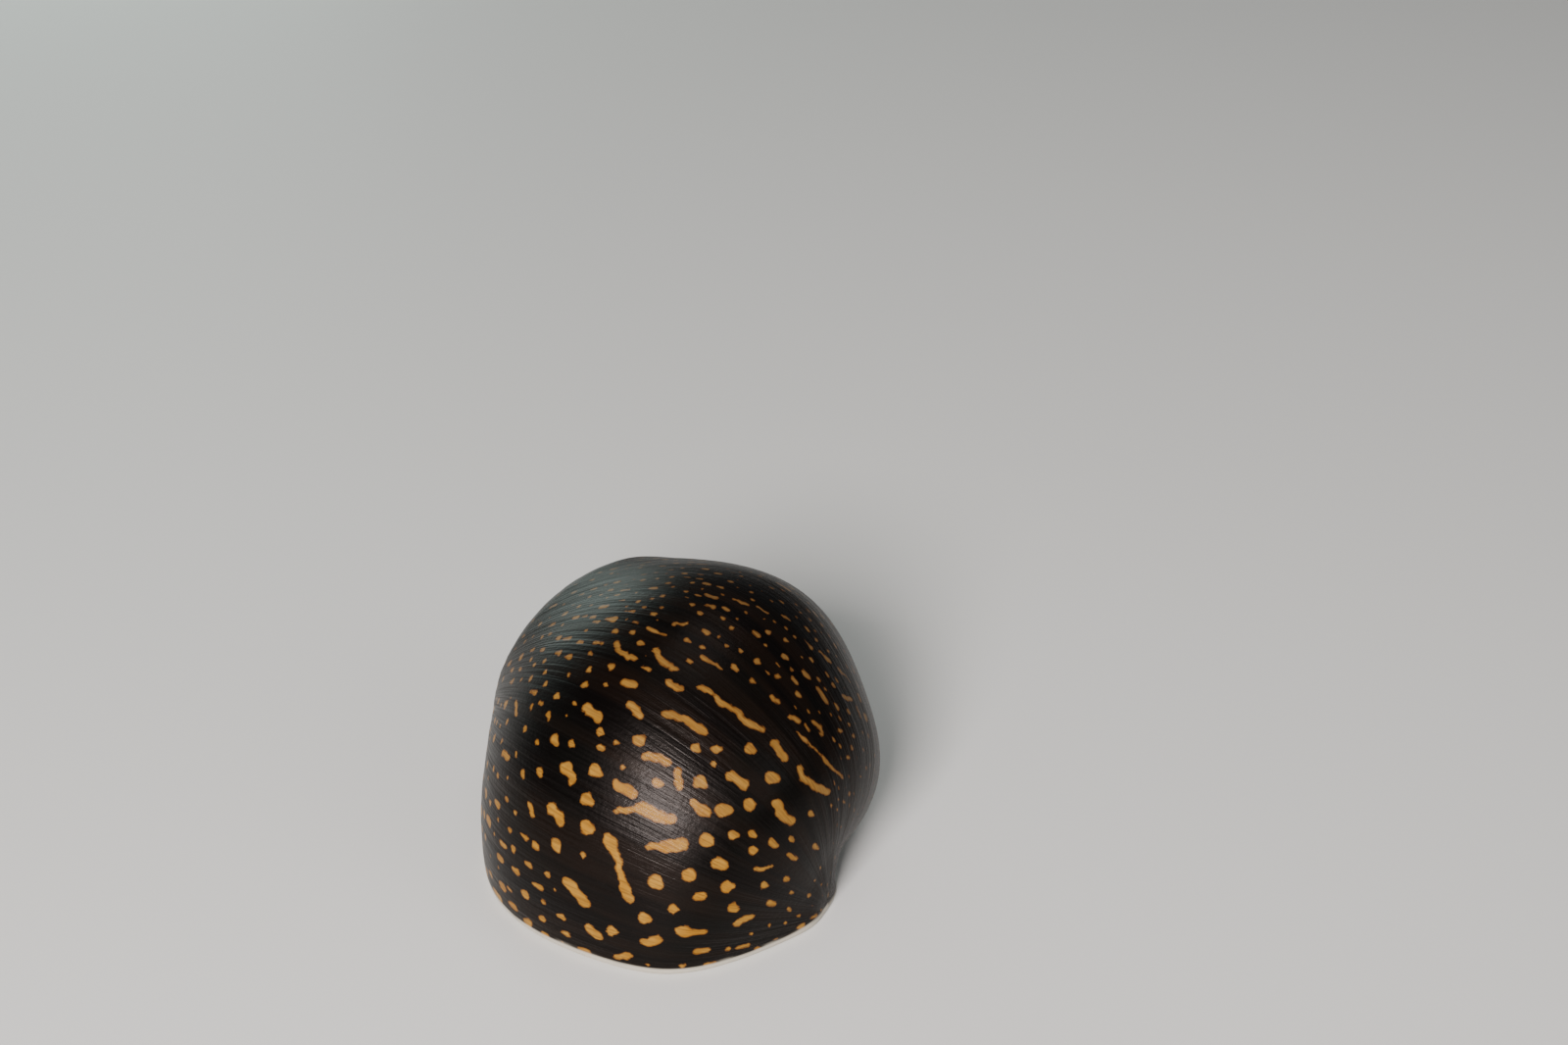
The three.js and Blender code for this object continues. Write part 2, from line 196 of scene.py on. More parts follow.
def lipLine(t):
    # half oval on the ground: reach goes as 1 - cos t along the base, depth as sin t to a power
    p = shellSet
    reach = p["lipChord"] / 2 * (1 - np.cos(t)) + p["lipLean"] * np.sin(t) ** 2
    egg = 1 + p["lipEgg"] * np.cos(t) + p["lipSquare"] * np.cos(3 * t)
    depth = p["lipDepth"] * np.clip(np.sin(t), 0, None) ** p["lipFullness"] * egg
    return pole + reach[..., None] * along + depth[..., None] * outward


def whorl(turn, s):
    # the lip line turned back about the axis, its arm shrinking by turnRatio a turn and its height
    # along the axis by a share of that; past s = 1 the arm closes in over the shoulder, which swells
    # as a sine between its edge and the turn before it
    p = shellSet
    t = np.pi * np.minimum(s, 1)
    shoulder = np.clip(s - 1, 0, None)
    arm = lipLine(t) - apex
    height = arm @ toApex
    arm = (arm - height[..., None] * toApex) * (1 - shoulder)[..., None]
    share = p["poleShare"] + (p["axialShare"] - p["poleShare"]) * (1 - np.exp(-(t / p["poleSpread"]) ** 2))
    turns = turn / 360
    arm = turned(arm * (p["turnRatio"] ** turns)[..., None], toApex, -np.radians(turn))
    bulge = np.sin(np.pi * np.clip(shoulder / p["bulgeShare"], 0, 1))
    swell = p["shoulderRise"] * shoulder + p["shoulderBulge"] * bulge
    lift = height * p["turnRatio"] ** (turns * share) + swell * p["turnRatio"] ** turns
    return apex + lift[..., None] * toApex + arm


# The outer surface is what a ray from the heart of the shell meets last: the whorls, layer by layer,
# or the callus. Each layer is a range of turns that a ray meets once, found by Newton's method.
heart = pole + toApex * shellSet["poleToApex"] / 2
raySet = {
    "layers": [(-300, 0), (-660, -290), (-1500, -640)],  # degrees of turn
    "bins": (150, 90), "samples": (500, 300), "sSampled": 1.98, "borrowings": 3,
    "steps": 9, "turnStep": 0.05, "sStep": 1e-4,
    "turnJump": 12, "sJump": 0.1,  # the most that one step may change
    "turnOver": 8, "sLimits": (1e-4, 1.999),
    "turnSlack": 1e-3, "nearEnough": 0.01,  # degrees, and mm beside the ray
    "apart": 100,  # degrees from a turn to the next one under it
    "halvings": 16,
    "outlineLow": -1.3, "outlineHigh": 0.3, "insideLow": -1.2, "insideHigh": 1.3,  # radians
}


def angles(away):
    # compass angle and rise of a direction
    flat = np.hypot(away[..., 0], away[..., 1])
    return np.arctan2(away[..., 1], away[..., 0]), np.arctan2(away[..., 2], flat)


def direction(theta, phi):
    # unit vector at a compass angle and a rise
    return np.stack([np.cos(phi) * np.cos(theta), np.cos(phi) * np.sin(theta), np.sin(phi)], -1)


def binOf(theta, phi):
    # row and column of a direction in the coarse map
    around, up = raySet["bins"]
    row = np.clip(((theta + np.pi) / (2 * np.pi) * around).astype(int), 0, around - 1)
    column = np.clip(((phi + np.pi / 2) / np.pi * up).astype(int), 0, up - 1)
    return row, column


def firstGuess(layer):
    # a coarse map of the layer: for each bin of directions, the sample that lies farthest out
    p = raySet
    turn = np.linspace(layer[0], layer[1], p["samples"][0])
    turn, s = np.meshgrid(turn, np.linspace(0, p["sSampled"], p["samples"][1]), indexing="ij")
    away = whorl(turn, s) - heart
    row, column = binOf(*angles(away))
    order = np.argsort(np.linalg.norm(away, axis=-1).ravel())
    turn, s, row, column = (values.ravel()[order] for values in (turn, s, row, column))
    table = np.full((*p["bins"], 2), np.nan)
    table[row, column] = np.stack([turn, s], -1)
    for step in range(p["borrowings"]):  # empty bins borrow from their neighbours
        for shift in [(1, 0), (-1, 0), (0, 1), (0, -1)]:
            beside = np.roll(table, shift, (0, 1))
            table = np.where(np.isnan(table), beside, table)
    return table


def layerReach(layer, table, theta, phi):
    # Newton's method on turn and s, until the point lies on the ray
    p = raySet
    way = direction(theta, phi)
    sideA = unit(np.cross(way, [0.3, 0.2, 0.93]))
    sideB = np.cross(way, sideA)
    guess = table[binOf(theta, phi)]
    known = ~np.isnan(guess[..., 0])
    turn = np.where(known, guess[..., 0], layer[1] - 1)
    s = np.where(known, guess[..., 1], 0.5)

    def miss(turn, s):
        # how far beside the ray the point lies, two ways
        away = whorl(turn, s) - heart
        return np.stack([np.einsum("...i,...i", away, side) for side in (sideA, sideB)])

    for step in range(p["steps"]):
        a, b = here = miss(turn, s)
        aTurn, bTurn = (miss(turn + p["turnStep"], s) - here) / p["turnStep"]
        aS, bS = (miss(turn, s + p["sStep"]) - here) / p["sStep"]
        det = aTurn * bS - aS * bTurn
        det = np.where(np.abs(det) < 1e-9, 1e-9, det)  # kept off zero
        dTurn, dS = (a * bS - b * aS) / det, (b * aTurn - a * bTurn) / det
        turn = turn - np.clip(dTurn, -p["turnJump"], p["turnJump"])
        turn = np.clip(turn, layer[0] - p["turnOver"], layer[1] + p["turnOver"])
        s = np.clip(s - np.clip(dS, -p["sJump"], p["sJump"]), *p["sLimits"])
    reach = np.einsum("...i,...i", whorl(turn, s) - heart, way)
    good = known & (np.hypot(*miss(turn, s)) < p["nearEnough"]) & (reach > 0)
    good &= (turn <= layer[1] + p["turnSlack"]) & (turn >= layer[0])
    return np.where(good, reach, 0), turn, s


guesses = [firstGuess(layer) for layer in raySet["layers"]]


def callusReach(theta, phi):
    # behind the chord the callus is the rim of a wide, low ellipsoid, whose ground circle passes
    # through both ends of the chord; a ray leaves it where its quadratic is solved
    p = shellSet
    radius = (p["callusLength"] ** 2 + p["callusWidth"] ** 2) / (2 * p["callusWidth"])
    size = np.array([radius, radius, p["callusHeight"]])
    centre = callusMiddle + outward * (radius - p["callusWidth"])
    way, start = direction(theta, phi) / size, (heart - centre) / size
    a, b, c = (way * way).sum(-1), way @ start, start @ start - 1
    reach = (-b + np.sqrt(np.clip(b * b - a * c, 0, None))) / a
    behind = (heart - pole) @ outward + reach * (direction(theta, phi) @ outward) < 0
    return np.where(behind & (b * b > a * c), reach, 0)


def shellReach(theta, phi):
    # farthest layer, how far it stands over the turn under it, then a soft corner against the callus
    found = [layerReach(layer, table, theta, phi) for layer, table in zip(raySet["layers"], guesses)]
    reaches, turns, places = (np.stack([f[k] for f in found]) for k in range(3))
    best = reaches.argmax(0)[None]
    reach, turn, s = (np.take_along_axis(values, best, 0)[0] for values in (reaches, turns, places))
    under = np.where(np.abs(turns - turn) > raySet["apart"], reaches, 0).max(0)
    dome = callusReach(theta, phi)
    return softMax(reach, dome, shellSet["callusBlend"]), turn, s, reach - under, dome - reach


def cornerPressed(points):
    # points near the pole are pushed in level, away from the corner, by a Gaussian of distance
    p = shellSet
    push = p["cornerPress"] * nearTo(points, pole, p["cornerSpread"])
    return points + push[..., None] * unit(along + outward)


def riseAt(theta, low, high, inset, level):
    # by halving, the rise of the ray at which the surface, set in, comes down to a level over the ground
    low, high = np.full_like(theta, low), np.full_like(theta, high)
    for step in range(raySet["halvings"]):
        middle = (low + high) / 2
        points = heart + direction(theta, middle) * (shellReach(theta, middle)[0] - inset)[..., None]
        below = points[..., 2] < level(points)
        low, high = np.where(below, middle, low), np.where(below, high, middle)
    return high


def groundRise(theta):
    # the rise of the ray that meets the outline on the ground, which is the lip line where that runs
    p = raySet
    lipTheta, lipPhi = angles(lipLine(np.linspace(0, np.pi, 2000)) - heart)
    lipTheta = np.mod(lipTheta, 2 * np.pi)[::-1]
    beside = {"left": p["outlineLow"], "right": p["outlineLow"]}
    low = np.interp(np.mod(theta, 2 * np.pi), lipTheta, lipPhi[::-1], **beside)
    return riseAt(theta, low, p["outlineHigh"], 0, lambda points: 0)


print("shell shape ready")

meshSet = {
    "around": 450, "down": 190,  # rays round the shell and from its top to the ground
    "lowRows": [0.985, 0.989, 0.9925, 0.9955, 0.998, 1.0],  # closer together by the ground
    "edgeSpread": (0.035, 0.16),  # of s, how far the shoulder's edge is rounded either way
    "tipRound": (1.6, 0.9), "poleRound": 1.6, "farRound": 3.0,  # mm, rounded round these places
    "leastReach": 1, "missedReach": 8.0,  # mm, under which a ray met nothing, and what it takes instead
    "poleCorner": 1.3, "farCorner": 3.0, "cornerHigh": 1.6,  # mm, of the outline's corners
    "fillHigh": 5.5, "fillHollow": 0.25, "fillSpread": 4.0,  # mm, of the filled hollow by the pole
    "fillTop": 2.0,  # of fillHigh, where the smoothing over it ends
    "passShare": 0.5, "roundPasses": 220, "cornerPasses": 160, "fillPasses": 40,
    "lipRound": 0.28,  # mm, rounding of the edge on the ground
    "rimRows": [(0.3, 0.0), (0.6, 0.0), (0.82, 0.0), (0.95, 0.12), (1.0, 0.5), (1.05, 1.4), (1.15, 3.0)],
    "uvPerTurn": 60, "uvPerS": 20,
}


def relaxed(values, weight, passes):
    # repeated averages with the neighbours, the first grid direction closing on itself
    for step in range(passes):
        beside = np.roll(values, 1, 0) + np.roll(values, -1, 0)
        if values.ndim == 1:
            values = values + weight * (beside / 2 - values)
        else:
            middle = (beside[:, 1:-1] + values[:, :-2] + values[:, 2:]) / 4
            values[:, 1:-1] += weight[:, 1:-1] * (middle - values[:, 1:-1])
    return values


def flatReach(points):
    # distance from the upright line through the heart
    return np.linalg.norm(points[..., :2] - heart[:2], axis=-1)


def flatMoved(points, share):
    # points moved level, to a share of their distance from the upright line through the heart
    flat = heart[:2] + (points[..., :2] - heart[:2]) * share[..., None]
    return np.concatenate([flat, points[..., 2:]], -1)


def cornersRounded(points):
    # the corners of the outline are rounded too, and what stands over them follows, less with height
    p = meshSet
    foot = points[:, -1]
    wide = flatReach(foot)
    corner = nearTo(foot, pole, p["poleCorner"]) + nearTo(foot, shoulderEnd, p["farCorner"])
    pull = relaxed(wide, np.clip(corner, 0, p["passShare"]), p["cornerPasses"]) / wide - 1
    return flatMoved(points, 1 + pull[:, None] * np.exp(-(points[..., 2] / p["cornerHigh"]) ** 2))


def hollowFilled(points):
    # by the pole the hollow under the whorl is filled out to a slightly hollow line, ground to wall
    p = meshSet
    flat, height = flatReach(points), points[..., 2]
    rows = np.abs(height - p["fillHigh"]).argmin(1)[:, None]
    up = height / np.take_along_axis(height, rows, 1)
    line = flat[:, -1:] + (np.take_along_axis(flat, rows, 1) - flat[:, -1:]) * up
    line = line - p["fillHollow"] * np.sin(np.pi * np.clip(up, 0, 1))
    near = nearTo(points[:, -1], pole, p["fillSpread"])[:, None]
    filled = flat + np.clip(line - flat, 0, None) * near * (up < 1)
    filled = relaxed(filled, near * smoothStep(p["fillTop"], 1.0, up) * p["passShare"], p["fillPasses"])
    return flatMoved(points, filled / np.clip(flat, 1e-6, None))


def shellGrid():
    # rays fan out from the heart: theta goes round, v from straight up to the outline on the ground;
    # the shoulder's edge, the ends of the base and the tip of the spire are then rounded
    p = meshSet
    theta = np.linspace(-np.pi, np.pi, p["around"], endpoint=False)
    lowest = groundRise(theta)[:, None]
    low = p["lowRows"]
    v = np.concatenate([np.linspace(0, low[0], p["down"] - len(low) + 1), low[1:]])
    theta, v = np.meshgrid(theta, v, indexing="ij")
    phi = np.pi / 2 + (lowest - np.pi / 2) * v
    reach, turn, s, seam, dome = shellReach(theta, phi)
    reach[:, -1] = heart[2] / np.sin(-lowest[:, 0])
    points = heart + direction(theta, phi) * reach[..., None]
    edge = np.exp(-((s - 1) / np.where(s < 1, *p["edgeSpread"])) ** 2)
    edge = edge * shellSet["turnRatio"] ** (turn / 180)
    ends = nearTo(points, pole, p["poleRound"]) + nearTo(points, shoulderEnd, p["farRound"])
    tip = smoothStep(*p["tipRound"], np.linalg.norm(points - apex, axis=-1))
    missed = reach < p["leastReach"]
    weight = np.clip(edge + ends + tip + missed, 0, 1) * p["passShare"]
    reach = relaxed(np.where(missed, p["missedReach"], reach), weight, p["roundPasses"])
    points = heart + direction(theta, phi) * reach[..., None]
    return cornerPressed(hollowFilled(cornersRounded(points))), turn, s, seam, dome


def roundNormals(points):
    # cross product of the two grid directions, the first of which closes on itself
    wrapped = np.concatenate([points[-1:], points, points[:1]])
    n = np.cross(np.gradient(points, axis=1), np.gradient(wrapped, axis=0)[1:-1])
    n[:, 0] = n[:, 1].mean(0)
    n = n / (np.linalg.norm(n, axis=-1, keepdims=True) + 1e-12)
    return n * np.sign((n * (points - heart)).sum())  # outward


shellPoints, shellTurn, shellS, shellSeam, shellDome = shellGrid()
shellNormals = roundNormals(shellPoints)
print("shell rays cast", shellPoints.shape)

# Relief of the surface; noise is given as millimetres across, amount and seed.
reliefSet = {
    "ridges": [(46, 0.0, 0.35), (19, 1.3, 0.65)],  # to a turn, where they start, share of the height
    "ridgeHigh": 0.02, "ridgeFoot": 0.6,  # mm, and how far over the ground they are full
    "ridgeMean": 0.6, "ridgeVary": (6.0, 0.4, 5), "ridgeDrift": (14.0, 1.2, 3),
    "callusFade": (0.6, -0.6), "callusEdge": (-0.3, 0.3),  # mm by which the callus stands over the whorl
    "wornFade": (3.3, 1.3), "wornVary": (1.6, 0.3, 9), "wornDeep": 6,  # mm from the axis, mm down
    "pitDeep": 0.05, "pits": (1.3, 1.0, 8),
    "seamWidth": 0.22, "seamDeep": 0.05, "seamStart": (0.3, 1.3), "seamDark": 0.8,
    "lipBand": (0.5, 0.38), "lipVary": (2.0, 0.05, 21), "lipOnCallus": 0.12,  # mm from the edge
}


def reliefOn(points):
    # growth ridges run along the lip's line, as sines of the turn, and fade out on the callus
    p = reliefSet
    turns = (shellTurn + uneven(points, p["ridgeDrift"])) / 360 * 2 * np.pi
    ridges = sum(np.sin(turns * count + start) * share for count, start, share in p["ridges"])
    ridges = p["ridgeHigh"] * (ridges * (p["ridgeMean"] + uneven(points, p["ridgeVary"])))
    ridges = ridges * smoothStep(*p["callusFade"], shellDome)
    ridges = ridges * smoothStep(0, p["ridgeFoot"], points[..., 2])

    # the tip is worn in an uneven patch round the axis, where pits and the suture are blunted
    onAxis = (points - apex) @ toApex
    beside = np.linalg.norm(points - apex - onAxis[..., None] * toApex, axis=-1)
    beside = beside + uneven(points, p["wornVary"])
    beside = np.where(onAxis < -p["wornDeep"], np.inf, beside)
    worn = smoothStep(*p["wornFade"], beside)
    pits = np.clip(uneven(points, p["pits"]), 0, 1) * worn
    suture = np.exp(-(shellSeam / p["seamWidth"]) ** 2) * smoothStep(*p["seamStart"], beside)
    lift = ridges - p["pitDeep"] * pits - p["seamDeep"] * suture
    return points + shellNormals * lift[..., None], worn, suture


def lipRounded(points):
    # the edge on the ground is rounded as a quarter circle, then the rim goes inward and up as rows of
    # the inner wall
    outline = points[:, -1].copy()
    tangent = np.roll(outline, -1, 0) - np.roll(outline, 1, 0)
    inward = unit(np.stack([tangent[:, 1], -tangent[:, 0], 0 * tangent[:, 0]], -1))
    inward = inward * np.sign(((heart - outline) * inward).sum(-1, keepdims=True))
    radius = meshSet["lipRound"]
    high = np.clip(1 - points[..., 2] / radius, 0, 1)
    points = points + inward[:, None] * (radius * (1 - np.sqrt(1 - high ** 2)))[..., None]
    points[..., 2] = np.clip(points[..., 2], 0, None)
    rows = [outline + inward * inset + [0, 0, up] for inset, up in meshSet["rimRows"]]
    return points, outline, np.stack(rows, 1)


shellPoints, worn, suture = reliefOn(shellPoints)
shellPoints, outline, rim = lipRounded(shellPoints)

# Ochre marks where the photograph shows them best, read off a crop enlarged from its corner.
markSet = {
    "corner": (480, 560), "scale": 3.099, "pixelsPerMm": 19.4,
    "streaks": [  # width, then the points of the middle line, in pixels of the crop
        (22, (463, 290), (470, 320), (495, 340), (528, 345)),
        (22, (583, 315), (600, 345), (630, 370), (655, 383)), (26, (480, 415), (505, 428), (525, 440)),
        (20, (618, 420), (640, 432), (670, 448)),
        (22, (715, 430), (760, 455), (800, 490), (840, 510), (870, 548), (930, 570)),
        (24, (500, 480), (520, 505), (540, 535)),
        (24, (605, 517), (640, 522), (680, 540), (720, 565), (742, 588)),
        (30, (355, 495), (385, 515), (415, 538)), (14, (725, 340), (760, 358), (798, 380)),
        (10, (555, 250), (590, 262), (622, 275)),
        (12, (1025, 572), (1060, 605), (1095, 635), (1140, 685), (1178, 728)),
        (26, (955, 605), (975, 635), (1000, 668)), (24, (1035, 690), (1050, 720), (1085, 745), (1138, 775)),
        (28, (955, 797), (975, 808), (985, 840), (1025, 862)), (16, (1085, 548), (1105, 560), (1115, 588)),
        (28, (545, 655), (590, 660), (630, 675)), (30, (452, 740), (485, 755), (518, 778)),
        (18, (450, 832), (490, 826), (530, 818)), (36, (525, 815), (570, 835), (640, 862)),
        (26, (650, 700), (655, 735), (670, 760)), (30, (812, 708), (845, 730), (880, 752)),
        (32, (695, 800), (725, 820), (755, 838)), (22, (550, 942), (600, 940)),
        (38, (600, 940), (680, 935)), (36, (432, 905), (452, 950)),
        (26, (452, 950), (470, 1000), (485, 1060)), (30, (485, 1060), (503, 1118)),
        (36, (300, 1045), (335, 1085), (375, 1130)), (22, (830, 1190), (870, 1170), (900, 1160)),
        (34, (660, 1208), (700, 1215)), (22, (700, 1212), (750, 1210)),
        (28, (362, 1187), (385, 1210), (412, 1233)), (30, (535, 1245), (570, 1242), (603, 1235)),
        (20, (452, 1290), (485, 1287), (513, 1280)), (22, (702, 1275), (730, 1272), (758, 1262)),
        (12, (737, 1318), (775, 1308)), (36, (520, 595), (545, 612)), (40, (243, 820), (268, 828)),
        (34, (268, 828), (288, 868)), (36, (293, 685), (312, 700)), (22, (312, 700), (325, 745)),
        (20, (182, 797), (192, 825), (203, 853)), (16, (142, 477), (145, 500), (146, 530)),
        (14, (1160, 375), (1185, 400), (1205, 425)), (14, (1100, 320), (1125, 345), (1140, 360)),
        (20, (1095, 437), (1115, 465), (1128, 488)), (18, (1172, 462), (1208, 478)),
        (14, (905, 182), (945, 205)), (12, (832, 160), (880, 175)), (12, (980, 205), (1015, 228)),
        (20, (1045, 382), (1073, 410)), (20, (947, 467), (980, 488)), (20, (1007, 527), (1043, 548)),
        (14, (897, 1015), (960, 1002)), (16, (1000, 965), (1035, 983)), (26, (705, 1103), (750, 1091)),
        (14, (640, 235), (690, 238)),
    ],
    "spots": [  # middle and width, in pixels of the crop
        (238, 388, 20), (308, 403, 20), (374, 387, 18), (366, 428, 24), (238, 428, 22), (277, 468, 24),
        (328, 490, 18), (193, 503, 22), (248, 530, 22), (302, 530, 12), (170, 575, 24), (210, 612, 22),
        (268, 610, 34), (326, 617, 26), (98, 610, 18), (63, 600, 16), (143, 650, 18), (74, 697, 18),
        (117, 728, 18), (164, 717, 22), (220, 707, 32), (402, 705, 40), (487, 690, 18), (466, 610, 20),
        (411, 628, 20), (412, 582, 26), (430, 428, 16), (785, 633, 30), (716, 634, 28), (888, 635, 34),
        (775, 682, 18), (735, 740, 40), (960, 722, 36), (805, 826, 38), (881, 810, 36), (745, 922, 42),
        (838, 905, 30), (895, 907, 26), (899, 953, 30), (961, 934, 24), (1017, 917, 22), (1082, 838, 22),
        (1093, 943, 20), (380, 800, 42), (376, 885, 46), (273, 946, 40), (355, 972, 20), (790, 995, 38),
        (690, 1030, 38), (592, 1060, 44), (822, 1067, 48), (935, 1065, 28), (1004, 1042, 22),
        (1015, 1088, 20), (955, 1122, 24), (1012, 1140, 18), (645, 1137, 32), (832, 1138, 38),
        (553, 1170, 38), (455, 1205, 34), (820, 1262, 18), (910, 1262, 22), (890, 1218, 16),
        (945, 1192, 16), (595, 740, 26), (1140, 810, 12), (1183, 800, 12), (1195, 660, 16), (1170, 575, 18),
        (1210, 592, 16), (460, 262, 18), (350, 295, 18), (378, 335, 16), (690, 290, 18), (735, 313, 18),
        (838, 376, 20), (895, 418, 20), (975, 403, 20), (912, 358, 20), (997, 343, 20), (1037, 460, 20),
        (858, 325, 18), (933, 303, 18), (1000, 292, 18), (945, 260, 18), (830, 250, 16),
    ],
    "readArea": ((676, 832), (172, 150)),  # middle and half size, photo pixels
    "readEdge": ((515, 790), 0.46),  # its lower left edge: where it starts, and its lean
    "linePoints": 4,  # from one point of a streak to the next
    "streakRound": 0.36, "streakRadius": 0.54,  # shares of the width: ends pulled in, half width
    "spotLean": (150, 450), "spotUpright": (0.1, 1.0), "spotSloping": (0.9, 0.4),  # by crop x
    "spotStretch": (0.05, 0.3), "spotHead": (0.54, 0.62), "spotTail": (0.24, 0.42),
    "tries": 12000, "closest": 0.27, "spread": 3.0,  # seeded spots: mm kept free, and sizes on top of it
    "seedArea": 0.3, "seedPast": -430, "seedCallus": 0.1, "seedGround": 0.4,
    "seedSize": 0.26, "seedVary": 0.25, "seedLimits": (0.06, 0.4), "seedLong": 1.6,
    "seedLess": [(-40, -110, 0.13), (0.88, 1.0, 0.05), (0.3, 0.1, 0.1)],  # by turn, shoulder, base
    "seedEnds": ([0.9, 0.5], [1.1, 0.95]),  # least and most radius at either end, of the size
    "farthest": 9.0, "margin": 0.8,  # mm, of the distances that are worked out
    "wobble": [(0.5, 0.03, 11), (1.1, 0.035, 12)],  # noise: millimetres across, amount, seed
}


def nearestOnShell(pixels):
    # for each photo pixel, the camera-facing shell point whose picture lies nearest to it
    facing = ((cameraPlace - shellPoints) * shellNormals).sum(-1) > 0
    facing &= shellPoints[..., 2] > 0.05
    candidates, pictures = shellPoints[facing], toPixel(shellPoints[facing])
    picked = [candidates[((pictures - pixel) ** 2).sum(-1).argmin()] for pixel in pixels]
    return np.array(picked)


def readMarks():
    # every mark becomes short capsules, each with two ends and a radius in millimetres at either end
    p = markSet
    starts, ends, radii = [], [], []
    perMm = p["scale"] * p["pixelsPerMm"]
    for width, *line in p["streaks"]:
        line = np.array(line, float)
        line[0] += unit(line[1] - line[0]) * width * p["streakRound"]  # room for the round ends
        line[-1] += unit(line[-2] - line[-1]) * width * p["streakRound"]
        steps = [np.linspace(a, b, p["linePoints"], endpoint=False) for a, b in zip(line[:-1], line[1:])]
        place = nearestOnShell(np.concatenate(steps + [line[-1:]]) / p["scale"] + p["corner"])
        starts.extend(place[:-1])
        ends.extend(place[1:])
        radii.extend([[width * p["streakRadius"] / perMm] * 2] * (len(place) - 1))
    upright, sloping = np.array(p["spotUpright"]), np.array(p["spotSloping"])
    for x, y, width in p["spots"]:
        way = upright + (sloping - upright) * smoothStep(*p["spotLean"], x)
        stretch = width * rng.uniform(*p["spotStretch"]) * way
        pair = np.array([[x, y] - stretch, [x, y] + stretch])
        place = nearestOnShell(pair / p["scale"] + p["corner"])
        starts.append(place[0])
        ends.append(place[1])
        radius = np.array([rng.uniform(*p["spotHead"]), rng.uniform(*p["spotTail"])])
        radii.append(radius * width / perMm)
    return np.array(starts), np.array(ends), np.array(radii)


def whereRead(place, normals):
    # which points face the camera inside the oval that was read off the photograph
    picture = toPixel(place)
    (x, y), (wide, high) = markSet["readArea"]
    read = ((picture[:, 0] - x) / wide) ** 2 + ((picture[:, 1] - y) / high) ** 2 < 1
    (x, y), lean = markSet["readEdge"]
    read &= picture[:, 0] > x + lean * np.clip(picture[:, 1] - y, 0, None)
    return read & (((cameraPlace - place) * normals).sum(-1) > 0)


def seededMarks(starts, ends):
    # the rest of the shell: spots dropped at random where no other mark is near, drawn out along the
    # growth lines, smaller toward the shoulder, the base and the older shell; none where the photograph
    # was read
    p = markSet
    area = flatReach(shellPoints).ravel() + p["seedArea"]
    picks = rng.choice(np.arange(area.size), p["tries"], p=area / area.sum())
    place, normals = shellPoints.reshape(-1, 3)[picks], shellNormals.reshape(-1, 3)[picks]
    turn, s, dome = (values.ravel()[picks] for values in (shellTurn, shellS, shellDome))
    way = unit(whorl(turn, np.clip(s + 0.01, 0, 1.9)) - whorl(turn, np.clip(s - 0.01, 0, 1.9)))
    size = p["seedSize"]
    for values, (low, high, less) in zip((turn, s, s), p["seedLess"]):
        size = size - less * smoothStep(low, high, values)
    size = np.clip(size * np.exp(rng.normal(0, p["seedVary"], p["tries"])), *p["seedLimits"])
    length = np.abs(rng.normal(0, 1.0, p["tries"])) * size * p["seedLong"]
    allowed = (turn > p["seedPast"]) & (dome < p["seedCallus"]) & (place[:, 2] > p["seedGround"])
    taken = np.concatenate([starts, ends, (starts + ends) / 2])
    kept = []
    for i in np.flatnonzero(allowed & ~whereRead(place, normals)):
        room = p["closest"] + p["spread"] * size[i]
        if (((taken - place[i]) ** 2).sum(-1) > room ** 2).all():
            kept.append(i)
            taken = np.vstack([taken, place[i]])
    half = way[kept] * length[kept][:, None] / 2
    radii = size[kept][:, None] * rng.uniform(*p["seedEnds"], (len(kept), 2))
    return place[kept] - half, place[kept] + half, radii


def markDistance(points, starts, ends, radii):
    # signed distance in millimetres from each point to the nearest tapered capsule, inside negative
    p = markSet
    best = np.full(points.shape[:-1], p["farthest"], np.float32)
    for a, b, radius in zip(starts, ends, radii):
        middle, half = (a + b) / 2, np.linalg.norm(b - a) / 2
        near = (np.abs(points - middle) < half + radius.max() + p["margin"]).all(-1)
        away, line = points[near] - a, b - a
        share = np.clip(away @ line / (line @ line + 1e-9), 0, 1)
        distance = np.linalg.norm(away - share[:, None] * line, axis=-1) - radius[0]
        best[near] = np.minimum(best[near], distance - (radius[1] - radius[0]) * share)
    return best


readOnes = readMarks()
seededOnes = seededMarks(*readOnes[:2])
allOnes = [np.concatenate(pair) for pair in zip(readOnes, seededOnes)]
marks = markDistance(shellPoints, *allOnes) + uneven(shellPoints, *markSet["wobble"])
print("marks drawn", len(readOnes[0]), len(seededOnes[0]))


def feed(node, inputs):
    # each input of a node is linked to a socket or set to a value
    for key, value in inputs.items():
        if isinstance(value, bpy.types.NodeSocket):
            node.id_data.links.new(value, node.inputs[key])
        else:
            node.inputs[key].default_value = value


def newNode(source, kind, inputs, **settings):
    # a node in the tree that a socket or another node belongs to
    node = source.id_data.nodes.new(kind)
    for key, value in settings.items():
        setattr(node, key, value)
    feed(node, inputs)
    return node


def newMaterial(name):
    # a material and its Principled shader
    material = bpy.data.materials.new(name)
    material.use_nodes = True
    return material, material.node_tree.nodes["Principled BSDF"]


def objectPlace(source):
    return newNode(source, "ShaderNodeTexCoord", {}).outputs["Object"]


def attribute(source, name):
    return newNode(source, "ShaderNodeAttribute", {}, attribute_name=name).outputs["Fac"]


def noise(vector, scale, detail=3.0, rough=0.5, dims="3D"):
    inputs = {"Vector": vector, "Scale": scale, "Detail": detail, "Roughness": rough}
    return newNode(vector, "ShaderNodeTexNoise", inputs, noise_dimensions=dims).outputs["Fac"]


